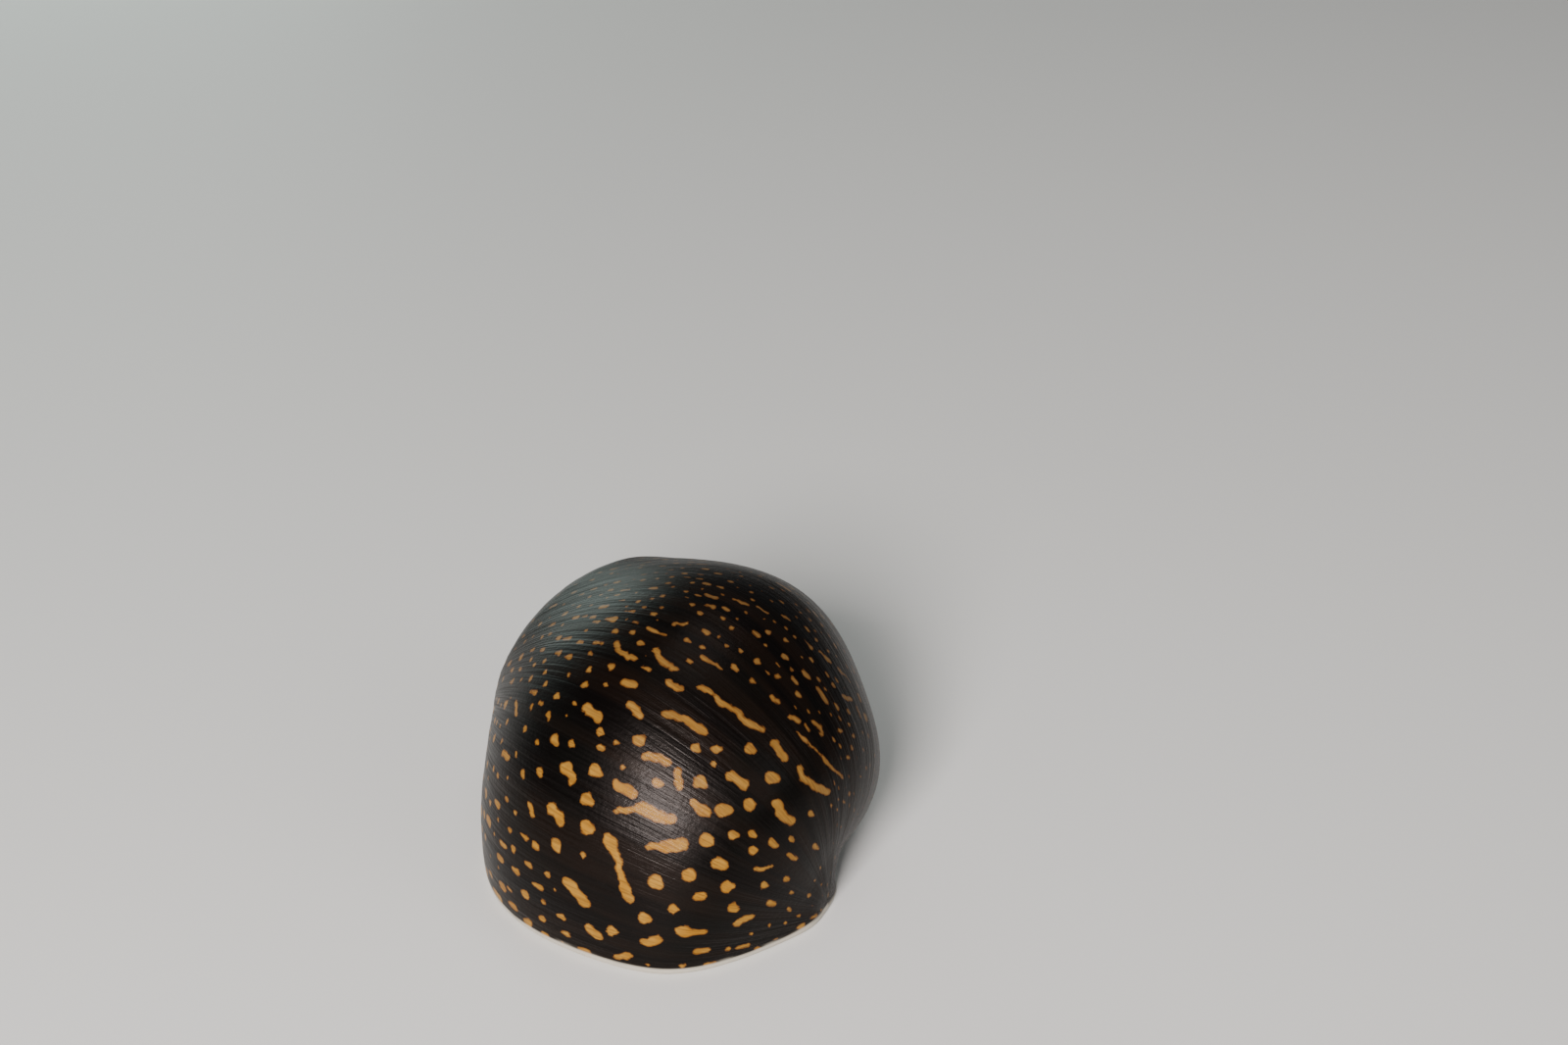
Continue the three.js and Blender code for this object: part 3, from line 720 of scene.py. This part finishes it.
def ramp(factor, low, high, first=0.0, last=1.0):
    # colour ramp from one place to another, each end a colour or a grey
    node = newNode(factor, "ShaderNodeValToRGB", {"Fac": factor})
    for element, place, colour in zip(node.color_ramp.elements, (low, high), (first, last)):
        element.position = place
        element.color = (*colour, 1) if isinstance(colour, tuple) else (colour, colour, colour, 1)
    return node.outputs["Color"]


def mixColour(factor, a, b):
    # from colour a to colour b, each a socket or three numbers
    a, b = (value if isinstance(value, bpy.types.NodeSocket) else (*value, 1) for value in (a, b))
    return newNode(factor, "ShaderNodeMix", {0: factor, 6: a, 7: b}, data_type="RGBA").outputs[2]


def calculate(operation, a, b):
    return newNode(a, "ShaderNodeMath", {0: a, 1: b}, operation=operation).outputs[0]


def weighted(*parts):
    # the sum of some values, each times its amount
    total = calculate("MULTIPLY", *parts[0])
    for part in parts[1:]:
        total = calculate("ADD", total, calculate("MULTIPLY", *part))
    return total


def remap(value, fromLow, fromHigh, toLow=0.0, toHigh=1.0):
    # from one range to another in a straight line, held at its ends
    inputs = {"Value": value, "From Min": fromLow, "From Max": fromHigh, "To Min": toLow, "To Max": toHigh}
    return newNode(value, "ShaderNodeMapRange", inputs).outputs["Result"]


def bump(height, strength, distance):
    # the distance is in metres
    inputs = {"Height": height, "Strength": strength, "Distance": distance}
    return newNode(height, "ShaderNodeBump", inputs).outputs[0]


shellLook = {
    "ground": (0.0016, 0.0011, 0.001), "warm": (0.005, 0.0027, 0.0017), "green": (0.002, 0.0025, 0.002),
    "mark": (0.29, 0.13, 0.011), "markPale": (0.34, 0.175, 0.028), "markEdge": (0.09, 0.032, 0.006),
    # the darker, greyer mark colour for the older whorls is painted shade over the shoulder
    "markShaded": (0.085, 0.055, 0.028), "shadedTurns": (-108, -36), "shadedShare": 0.65,
    "rim": (0.5, 0.46, 0.38), "worn": (0.42, 0.3, 0.24), "wornRing": (0.32, 0.11, 0.05),
    "seam": (0.006, 0.005, 0.005),
    "roughness": (0.29, 0.45), "wornRough": 0.3, "coat": 0.03, "coatRoughness": 0.08,
    "specular": 0.11, "tint": (1.0, 0.86, 0.8, 1),
    "stretch": 0.05,  # of the growth lines' noise, along the lip
    "fine": (9.0, 4.0, 0.6), "threads": (4.0, 2.0, 0.5), "broad": (1.1, 2.0, 0.5),  # scale, detail, rough
    "cloud": (260.0, 3.0), "patches": (900.0, 2.0), "crumbs": (1900.0, 2.0), "grain": (4200.0, 2.0),
    "raggedFine": 0.16, "raggedCrumbs": 0.2, "raggedMean": 0.167,  # mm
    "markSoft": (-0.015, 0.015), "markRim": (-0.09, -0.01),  # mm inside the marks' edge
    "wornFrom": (0.25, 0.45), "palestFrom": (0.5, 0.8),
    "relief": (0.5, 0.9, 0.4), "bump": (0.45, 0.00007),
}


def shellMaterial():
    # black glossy ground with growth lines, ochre marks with painted shade on the older whorls, a worn
    # spire and a pale lip
    look = shellLook
    material, shader = newMaterial("nerite shell")
    place = objectPlace(shader)
    growth = newNode(shader, "ShaderNodeUVMap", {}, uv_map="growth").outputs["UV"]
    names = ("marks", "worn", "rim", "seam", "callus")
    marksIn, wornIn, rimIn, seamIn, callusIn = (attribute(shader, name) for name in names)

    # growth lines: noise stretched along the lip, fine and broad
    inputs = {"Vector": growth, "Scale": (1.0, look["stretch"], 1.0)}
    across = newNode(growth, "ShaderNodeMapping", inputs).outputs[0]
    fine, threads, broad = (noise(across, *look[name], "2D") for name in ("fine", "threads", "broad"))
    names = ("cloud", "patches", "crumbs", "grain")
    cloud, patches, crumbs, grain = (noise(place, *look[name]) for name in names)

    # the marks' edges are ragged, in steps along the growth lines
    ragged = weighted((fine, look["raggedFine"]), (crumbs, look["raggedCrumbs"]))
    marksIn = calculate("ADD", marksIn, calculate("SUBTRACT", ragged, look["raggedMean"]))

    ground = mixColour(ramp(broad, 0.4, 0.62), look["ground"], look["warm"])
    ground = mixColour(ramp(cloud, 0.45, 0.75, 0.0, 0.6), ground, look["green"])
    mark = mixColour(ramp(patches, 0.35, 0.65), look["mark"], look["markPale"])
    mark = mixColour(ramp(fine, 0.35, 0.55, 0.5, 0.0), mark, look["markEdge"])
    # painted shade: by turn the marks grow darker and greyer toward the older whorls over the shoulder
    turns = newNode(growth, "ShaderNodeSeparateXYZ", {"Vector": growth}).outputs["X"]
    shadeStart, new = (turn / 360 * meshSet["uvPerTurn"] for turn in look["shadedTurns"])
    mark = mixColour(remap(turns, shadeStart, new, look["shadedShare"], 0.0), mark, look["markShaded"])
    rimmed = mixColour(remap(marksIn, *look["markRim"]), mark, look["markEdge"])
    colour = mixColour(remap(marksIn, *look["markSoft"]), rimmed, ground)

    # the spire is worn pale in the middle with a rusty ring, the seam is dark, the lip edge is pale
    uneasy = calculate("SUBTRACT", cloud, 0.5)
    uneasy = calculate("MULTIPLY", uneasy, calculate("MULTIPLY", wornIn, 2.0))
    uneasy = calculate("ADD", wornIn, uneasy)
    colour = mixColour(remap(uneasy, *look["wornFrom"]), colour, look["wornRing"])
    colour = mixColour(remap(uneasy, *look["palestFrom"]), colour, look["worn"])
    for factor, other in ((seamIn, "seam"), (callusIn, "warm"), (rimIn, "rim")):
        colour = mixColour(factor, colour, look[other])

    rough = remap(fine, 0.3, 0.7, *look["roughness"])
    raised = weighted(*zip((fine, threads, grain), look["relief"]))
    normal = bump(raised, *look["bump"])
    feed(shader, {
        "Base Color": colour,
        "Roughness": calculate("ADD", rough, calculate("MULTIPLY", wornIn, look["wornRough"])),
        "Coat Weight": look["coat"], "Coat Roughness": look["coatRoughness"],
        "Specular IOR Level": look["specular"], "Specular Tint": look["tint"],
        "Normal": normal, "Coat Normal": normal,
    })
    return material


def buildShell():
    # dome rows from the top point down, then the rim rows; the first row is one shared point
    around = len(shellPoints)
    body = np.concatenate([shellPoints[:, 1:], rim], 1)
    columns = body.shape[1]
    points = np.concatenate([shellPoints[:1, 0], body.reshape(-1, 3)])
    quads = gridFaces(around, columns, loopRows=True) + 1
    first = 1 + np.arange(around) * columns
    cap = np.stack([np.zeros(around, int), first, np.roll(first, -1)], -1)

    def spread(values, rimValue=None):
        # one number per point: the dome's own, and one value or else the last row's for the rim
        tail = np.repeat(values[:, -1:], rim.shape[1], 1)
        if rimValue is not None:
            tail = np.full(rim.shape[:2], rimValue)
        return np.concatenate([values[:1, 0], np.concatenate([values[:, 1:], tail], 1).ravel()])

    onCallus = smoothStep(*reliefSet["callusEdge"], shellDome)
    fromEdge = np.linalg.norm(shellPoints - outline[:, None], axis=-1)
    fromEdge = fromEdge + uneven(shellPoints, reliefSet["lipVary"])
    lipBand = smoothStep(*reliefSet["lipBand"], fromEdge + reliefSet["lipOnCallus"] * onCallus)
    values = {
        "marks": spread(marks, 1.0),
        "worn": spread(worn, 0.0),
        "rim": spread(lipBand, 1.0),
        "seam": spread(suture * reliefSet["seamDark"], 0.0),
        "callus": spread(onCallus, 0.0),
    }
    uv = np.stack([spread(shellTurn) / 360 * meshSet["uvPerTurn"], spread(shellS) * meshSet["uvPerS"]], -1)
    piece = makePiece("shell", points, [quads, cap], shellMaterial(), values, uv)
    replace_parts(piece, "shell_body_whorl", "shell_spire")
    return len(quads) * 2 + len(cap)


print("shell built", buildShell())

# The soft body is drawn in: a flat sole, a head and snout in front of it, and the mantle above, which
# leaves room over the rear of the foot for the operculum and the deck.
bodySet = {
    "inset": 1.5, "floor": 1.9, "roof": 3.9,  # mm, of the mantle inside the shell
    "deckEdge": 2.3, "deckStep": (-0.9, 0.5),
    "front": -6.3, "frontStep": (0.9, -1.1), "frontWave": (0.25, 2.1),
    "around": 180, "wallRows": 60, "floorRows": 24, "floorCrowd": 1.3,
    "soleMiddle": (0.0, 1.6), "soleHalf": (9.4, 8.6), "soleInset": 1.5, "soleBlend": 0.3,
    "soleAround": 360, "scallops": [(0.05, 37, 0), (0.04, 23, 1)],  # mm, how many, start
    "soleProfile": [(0, 0), (0.3, 0), (0.6, 0), (0.8, 0), (0.9, 0), (0.96, 0.0), (0.985, 0.08), (1.0, 0.3),
                    (1.0, 0.55), (0.985, 0.9), (0.96, 1.25), (0.92, 1.5), (0.86, 1.6), (0.6, 1.6),
                    (0.3, 1.6), (0, 1.6)],
}


def bodyFloor(points):
    # height of the body's underside: low beside the lip, high over the deck and over the head
    p = bodySet
    side = -(points - pole) @ outward + p["deckEdge"]
    wave, tightness = p["frontWave"]
    front = p["front"] + wave * np.sin(points[..., 0] * tightness)
    high = np.maximum(smoothStep(*p["deckStep"], side), smoothStep(*p["frontStep"], points[..., 1] - front))
    return p["floor"] + (p["roof"] - p["floor"]) * high


def mantleForm():
    # rows of the shell's surface set in, from the top down to the floor, then across it to the middle
    p = bodySet
    theta = np.linspace(-np.pi, np.pi, p["around"], endpoint=False)
    lowest = riseAt(theta, raySet["insideLow"], raySet["insideHigh"], p["inset"], bodyFloor)
    v = np.linspace(0, 1, p["wallRows"])[:, None]
    phi = np.pi / 2 + (lowest - np.pi / 2) * v
    around = np.broadcast_to(theta, phi.shape)
    wall = heart + direction(around, phi) * (shellReach(around, phi)[0] - p["inset"])[..., None]
    inwardShare = np.linspace(0, 1, p["floorRows"])[1:, None, None] ** p["floorCrowd"]
    under = wall[-1:] + (heart - wall[-1:]) * inwardShare
    under[..., 2] = bodyFloor(under)
    return closedForm(np.concatenate([wall, under]))


def soleForm():
    # the outline is the smaller of an oval and the inside of the lip, its edge lightly scalloped;
    # the profile runs from the middle of the flat sole round the edge to the middle of the top
    p = bodySet
    theta = np.linspace(-np.pi, np.pi, p["soleAround"], endpoint=False)
    middle = np.array([*p["soleMiddle"], 0])
    away = outline - middle
    compass, far = np.arctan2(away[:, 1], away[:, 0]), np.hypot(away[:, 0], away[:, 1])
    order = np.argsort(compass)
    lip = np.interp(theta, compass[order], far[order], period=2 * np.pi) - p["soleInset"]
    oval = 1 / np.hypot(np.cos(theta) / p["soleHalf"][0], np.sin(theta) / p["soleHalf"][1])
    reach = -softMax(-lip, -oval, p["soleBlend"])
    for amount, count, start in p["scallops"]:
        reach = reach + amount * np.sin(theta * count + start)
    profile = np.array(p["soleProfile"])
    flat = np.stack([np.cos(theta), np.sin(theta), 0 * theta], -1) * reach[:, None]
    rings = middle + flat * profile[:, 0][:, None, None]
    rings[..., 2] = profile[:, 1][:, None]
    return closedForm(rings)


def eggForm(centre, radii, turnBy=0.0, flatten=0.0, rows=33, columns=48):
    # ellipsoid about a centre, turned about the vertical; its underside may be flattened
    polar, compass = np.linspace(0, np.pi, rows), np.linspace(0, 2 * np.pi, columns, endpoint=False)
    polar, compass = np.meshgrid(polar, compass, indexing="ij")
    local = np.stack([np.sin(polar) * np.cos(compass), np.sin(polar) * np.sin(compass), np.cos(polar)], -1)
    local = local * radii
    local[..., 2] *= np.where(local[..., 2] < 0, 1 - flatten, 1)
    c, s = np.cos(turnBy), np.sin(turnBy)
    x, y = local[..., 0] * c - local[..., 1] * s, local[..., 0] * s + local[..., 1] * c
    return closedForm(np.stack([x, y, local[..., 2]], -1) + np.asarray(centre, float))


def smoothPath(knots, count):
    # Catmull-Rom curve through the knots, with the end ones repeated outward
    knots = np.asarray(knots, float)
    knots = np.vstack([2 * knots[0] - knots[1], knots, 2 * knots[-1] - knots[-2]])
    at = np.linspace(0, len(knots) - 3 - 1e-6, count)
    i = at.astype(int)
    f = (at - i)[:, None]
    a, b, c, d = knots[i], knots[i + 1], knots[i + 2], knots[i + 3]
    bend, twist = 2 * a - 5 * b + 4 * c - d, 3 * b - a - 3 * c + d
    return (2 * b + (c - a) * f + bend * f ** 2 + twist * f ** 3) / 2


def tubeForm(knots, startRadius, endRadius, count, ringHigh=0.0, ringLong=0.45, sides=24):
    # round tube along a curve, tapering evenly, with domed ends and faint rings
    line = smoothPath(knots, count)
    way = unit(np.gradient(line, axis=0))
    sideA = unit(np.cross(way, [0, 0, 1.0]))
    sideB = np.cross(sideA, way)
    f = np.linspace(0, 1, count)
    length = np.linalg.norm(np.diff(line, axis=0), axis=1).sum()
    radius = startRadius + (endRadius - startRadius) * f
    nearEnd = np.clip(np.minimum(f, 1 - f) * length / radius, 0, 1)
    ringed = 1 + ringHigh * np.sin(f * length * 2 * np.pi / ringLong)
    radius = radius * np.sqrt(1 - (1 - nearEnd) ** 2) * ringed
    angle = np.linspace(0, 2 * np.pi, sides, endpoint=False)
    around = np.cos(angle)[:, None] * sideA[:, None] + np.sin(angle)[:, None] * sideB[:, None]
    return closedForm(line[:, None] + around * radius[:, None, None])


# Eggs are middle, radii, turn and flattening of the underside; tubes are knots and end radii; all in mm.
headSet = {
    "head": ((0, -7.75, 1.95), (2.3, 1.75, 1.4), 0.0, 0.1), "neck": ((0, -5.0, 2.45), (1.95, 2.7, 1.3)),
    "snout": ((0, -9.2, 1.28), (1.7, 1.2, 0.95), 0.0, 0.15),
    "lobe": ((0.82, -9.5, 1.12), (0.82, 0.85, 0.72), 0.25, 0.2),  # on either side of the mouth
    "stalkBody": ((-3.5, -1.9, 1.9), (3.4, 6.2, 1.7)),
    "tentacles": [
        [(1.6, -7.9, 2.1), (3.6, -8.4, 2.1), (5.2, -7.8, 2.1), (6.2, -6.5, 2.2), (6.1, -5.0, 2.3)],
        [(-1.6, -7.9, 2.1), (-3.7, -8.4, 2.1), (-5.6, -8.0, 2.1), (-7.0, -6.7, 2.1), (-7.9, -5.0, 2.2)],
    ],
    "tentacleRadii": (0.52, 0.2), "tentacleRows": 110, "tentacleRings": 0.04,
    "eyeStalk": [(1.0, -7.5, 2.3), (2.1, -7.35, 2.75), (2.85, -7.2, 3.05)],
    "eyeStalkRadii": (0.55, 0.42), "eyeStalkRows": 30,
    "eyeOut": (0.32, 0.0, 0.16), "eyeRadius": 0.36, "lens": (0.14, 0.25),
}


def headForms():
    # head, neck, snout and the stalk of the body, then lobes, eyestalks and tentacles
    p = headSet
    stalk = eggForm(*p["stalkBody"], np.arctan2(-along[0], along[1]))
    forms = [eggForm(*p["head"]), eggForm(*p["neck"]), eggForm(*p["snout"]), stalk]
    (x, y, z), radii, turnBy, flatten = p["lobe"]
    for side in (-1, 1):
        knots = np.array(p["eyeStalk"]) * [side, 1, 1]
        forms.append(eggForm((side * x, y, z), radii, -side * turnBy, flatten))
        forms.append(tubeForm(knots, *p["eyeStalkRadii"], p["eyeStalkRows"]))
    for knots in p["tentacles"]:
        forms.append(tubeForm(knots, *p["tentacleRadii"], p["tentacleRows"], p["tentacleRings"]))
    return forms


def joinedForms(forms):
    # one list of points, with each form's faces counted on from the last
    points, quads, triangles = zip(*forms)
    starts = np.cumsum([0] + [len(places) for places in points])
    quads = [faces + start for faces, start in zip(quads, starts)]
    triangles = [faces + start for faces, start in zip(triangles, starts)]
    return np.concatenate(points), np.concatenate(quads), np.concatenate(triangles)


def settled(piece, *modifiers):
    # modifiers added by kind and settings, then applied to the mesh
    for kind, settings in modifiers:
        modifier = piece.modifiers.new(kind.lower(), kind)
        for key, value in settings.items():
            setattr(modifier, key, value)
    applied = piece.evaluated_get(bpy.context.evaluated_depsgraph_get())
    mesh = bpy.data.meshes.new_from_object(applied)
    piece.modifiers.clear()
    piece.data = mesh
    return mesh


def vectors(mesh, key):
    # the points' places or normals
    values = np.empty(len(mesh.vertices) * 3, np.float32)
    mesh.vertices.foreach_get(key, values)
    return values.reshape(-1, 3)


skinSet = {
    "voxel": 0.14, "smooth": 0.5, "smoothings": 3,
    "mouthAhead": (-9.6, -10.0), "slitHigh": 0.95, "slitDroop": 0.12, "slitHalf": 0.6,  # mm
    "slitWidth": 0.13, "slitEnds": (0.75, 0.45), "slitDeep": 0.22,
    "furrowWidth": 0.16, "furrowTop": (1.0, 0.7), "furrowAhead": (-8.9, -9.3), "furrowDeep": 0.1,
    "slitShade": 0.8, "furrowShade": 0.3,
    "wrinkles": [(0.9, 0.02, 31), (0.45, 0.012, 32)], "wrinkleFoot": (0.1, 0.5),
    "soleFlat": 0.06, "soleMask": (0.35, 0.06),  # mm over the ground
}


def buildFlesh():
    # all forms grow into one skin, whose creases and masks are then worked out point by point
    p = skinSet
    points, quads, triangles = joinedForms([mantleForm(), soleForm()] + headForms())
    piece = makePiece("flesh", points, [quads, triangles], fleshMaterial())
    mesh = settled(
        piece,
        ("REMESH", {"mode": "VOXEL", "voxel_size": p["voxel"] * mm, "use_smooth_shade": True}),
        ("SMOOTH", {"factor": p["smooth"], "iterations": p["smoothings"]}),
    )
    places, normals = vectors(mesh, "co") / mm, vectors(mesh, "normal")
    x, y, z = places.T

    # mouth: a slit curved down at its ends, and a furrow between the two lobes under it, both pressed in
    # and coloured darker as painted shade
    slitHigh = p["slitHigh"] - p["slitDroop"] * (x / p["slitHalf"]) ** 2
    slit = np.exp(-((z - slitHigh) / p["slitWidth"]) ** 2)
    slit = slit * smoothStep(*p["slitEnds"], np.abs(x)) * smoothStep(*p["mouthAhead"], y)
    furrow = np.exp(-(x / p["furrowWidth"]) ** 2)
    furrow = furrow * smoothStep(*p["furrowTop"], z) * smoothStep(*p["furrowAhead"], y)
    wrinkles = uneven(places, *p["wrinkles"]) * smoothStep(*p["wrinkleFoot"], z)
    places = places + normals * (wrinkles - p["slitDeep"] * slit - p["furrowDeep"] * furrow)[:, None]
    places[:, 2] = np.where(places[:, 2] < p["soleFlat"], 0, places[:, 2])
    mesh.vertices.foreach_set("co", (places * mm).astype(np.float32).ravel())
    writeValues(mesh, {
        "sole": smoothStep(*p["soleMask"], places[:, 2]),
        "mouth": np.clip(p["slitShade"] * slit + p["furrowShade"] * furrow, 0, 1),
    })
    mesh.polygons.foreach_set("use_smooth", np.ones(len(mesh.polygons), bool))
    mesh.update()
    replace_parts(piece, "foot", "neck", "body_mantle", "head", "snout", "tentacle_left_base",
                "tentacle_left_tip", "tentacle_right_base", "tentacle_right_tip", "eyestalk_left",
                "eyestalk_right")
    return len(mesh.polygons)


fleshLook = {
    "base": (0.13, 0.105, 0.08), "dark": (0.018, 0.015, 0.014), "pale": (0.42, 0.36, 0.22),
    # the mouth colour is painted shade, laid into the slit and the furrow
    "sole": (0.47, 0.42, 0.31), "soleDark": (0.3, 0.25, 0.18), "mouth": (0.09, 0.04, 0.03),
    "blotch": (420.0, 4.0, 0.6), "fleck": (1500.0, 3.0, 0.7), "cells": 2200.0,
    "roughness": (0.3, 0.48), "coat": 0.35, "coatRoughness": 0.15,
    "subsurface": 0.15, "subsurfaceRadius": (0.0009, 0.0005, 0.0003),  # m
    "relief": (0.8, 0.5), "bump": (0.4, 0.00006),
}


def fleshMaterial():
    # mottled grey-brown skin with dark flecks and pale points, paler and plainer on the sole
    look = fleshLook
    material, shader = newMaterial("snail flesh")
    place = objectPlace(shader)
    blotch, fleck = noise(place, *look["blotch"]), noise(place, *look["fleck"])
    inputs = {"Vector": place, "Scale": look["cells"]}
    cells = newNode(place, "ShaderNodeTexVoronoi", inputs, feature="DISTANCE_TO_EDGE").outputs["Distance"]
    colour = mixColour(ramp(blotch, 0.42, 0.6), look["base"], look["dark"])
    colour = mixColour(ramp(fleck, 0.58, 0.68, 0.0, 0.8), colour, look["pale"])
    pale = mixColour(ramp(blotch, 0.4, 0.7), look["sole"], look["soleDark"])
    colour = mixColour(attribute(shader, "sole"), colour, pale)
    raised = weighted(*zip((cells, fleck), look["relief"]))
    feed(shader, {
        "Base Color": mixColour(attribute(shader, "mouth"), colour, look["mouth"]),
        "Roughness": remap(fleck, 0.3, 0.7, *look["roughness"]),
        "Subsurface Weight": look["subsurface"], "Subsurface Radius": look["subsurfaceRadius"],
        "Subsurface Scale": 1.0,
        "Coat Weight": look["coat"], "Coat Roughness": look["coatRoughness"],
        "Normal": bump(raised, *look["bump"]),
    })
    return material


print("flesh built", buildFlesh())


eyeLook = {
    "black": (0.004, 0.004, 0.005), "brown": (0.02, 0.017, 0.015), "cloud": (3000.0, 2.0),
    "gloss": (5000.0, 2.0), "roughness": (0.05, 0.12), "coat": 0.8,
}


def eyeMaterial():
    # nearly black, with a faint brown cloud under a clear coat
    look = eyeLook
    material, shader = newMaterial("snail eye")
    place = objectPlace(shader)
    cloud, gloss = noise(place, *look["cloud"]), noise(place, *look["gloss"])
    feed(shader, {
        "Base Color": ramp(cloud, 0.4, 0.75, look["black"], look["brown"]),
        "Roughness": remap(gloss, 0.3, 0.7, *look["roughness"]),
        "Coat Weight": look["coat"],
    })
    return material


def buildEyes():
    # an eye is a ball drawn out a little into its lens along the direction of its stalk
    p = headSet
    material = eyeMaterial()
    high, width = p["lens"]
    for side, node in ((1, "eye_left"), (-1, "eye_right")):
        out = np.array(p["eyeOut"]) * [side, 1, 1]
        middle = np.array(p["eyeStalk"][-1]) * [side, 1, 1] + out
        points, quads, fans = eggForm((0, 0, 0), (1, 1, 1))
        lens = 1 + high * np.exp(-((1 - points @ unit(out)) / width) ** 2)
        points = points * lens[:, None] * p["eyeRadius"] + middle
        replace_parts(makePiece(node + "_ball", points, [quads, fans], material), node)


buildEyes()


def assignTo(node, material):
    # a CAD node keeps its mesh and takes a better material
    for place in bpy.data.objects[node].material_slots:
        place.material = material


limeLook = {
    "operculum": {"light": (0.3, 0.17, 0.11), "dark": (0.09, 0.04, 0.025), "gloss": 0.3},
    "shell_deck": {"light": (0.62, 0.58, 0.48), "dark": (0.4, 0.35, 0.26), "gloss": 0.22},
    "stretch": 0.15, "bands": (1600.0, 3.0, 0.6), "cloud": (300.0, 3.0), "bump": (0.4, 0.00005),
}


def limyMaterial(name, light, dark, gloss):
    # worn shell lime: bands of noise drawn out along the columella, fine pits, cloudy stain
    look = limeLook
    material, shader = newMaterial(name)
    place = objectPlace(shader)
    inputs = {"Vector": place, "Rotation": (0, 0, -turnAngle), "Scale": (1.0, look["stretch"], 1.0)}
    bands = noise(newNode(place, "ShaderNodeMapping", inputs).outputs[0], *look["bands"])
    cloud = noise(place, *look["cloud"])
    colour = mixColour(ramp(bands, 0.35, 0.65), light, dark)
    feed(shader, {
        "Base Color": mixColour(ramp(cloud, 0.5, 0.75, 0.0, 0.5), colour, dark),
        "Roughness": remap(cloud, 0.3, 0.7, gloss, gloss + 0.15),
        "Coat Weight": 0.3,
        "Normal": bump(bands, *look["bump"]),
    })
    return material


assignTo("operculum", limyMaterial("operculum horn", **limeLook["operculum"]))
assignTo("shell_deck", limyMaterial("deck lime", **limeLook["shell_deck"]))
print("eyes, operculum and deck dressed")

stageSet = {
    "floorHalf": 0.6,  # m
    "floor": (0.8, 0.8, 0.78), "floorRoughness": 0.6,
    "world": (0.6, 0.63, 0.64), "worldStrength": 0.2,
    "lights": {  # place, height of the aim and size in mm, watts, colour
        "key": ((-60, -226, 142), 8, 88, 1.35, (1.0, 0.94, 0.92)),
        "top": ((40, 60, 300), 6, 160, 0.12, (1.0, 0.98, 0.95)),
        "back": ((-110, 235, 55), 10, 120, 0.12, (0.8, 1.0, 0.93)),
        "fill": ((230, -150, 180), 6, 140, 0.1, (1, 1, 1)),
    },
}


def buildStage():
    # a pale floor under an even, slightly green world
    look = stageSet
    half = look["floorHalf"]
    floorMesh = bpy.data.meshes.new("floor")
    corners = [(-half, -half, 0), (half, -half, 0), (half, half, 0), (-half, half, 0)]
    floorMesh.from_pydata(corners, [], [(0, 1, 2, 3)])
    floor = bpy.data.objects.new("floor", floorMesh)
    bpy.context.collection.objects.link(floor)
    material, shader = newMaterial("studio floor")
    feed(shader, {"Base Color": (*look["floor"], 1), "Roughness": look["floorRoughness"]})
    floorMesh.materials.append(material)

    world = bpy.data.worlds.new("studio")
    world.use_nodes = True
    feed(world.node_tree.nodes["Background"], {0: (*look["world"], 1), 1: look["worldStrength"]})
    bpy.context.scene.world = world


def areaLight(name, place, aimHeight, size, power, colour):
    # a square softbox, turned to face a point over the middle of the floor
    data = bpy.data.lights.new(name, "AREA")
    data.size, data.energy, data.color = size * mm, power, colour
    light = bpy.data.objects.new(name, data)
    away = unit(np.array(place, float) - [0, 0, aimHeight])
    light.location = np.array(place) * mm
    light.rotation_euler = (np.arccos(away[2]), 0, np.arctan2(away[1], away[0]) + np.pi / 2)
    bpy.context.collection.objects.link(light)


buildStage()
for name, settings in stageSet["lights"].items():
    areaLight(name, *settings)
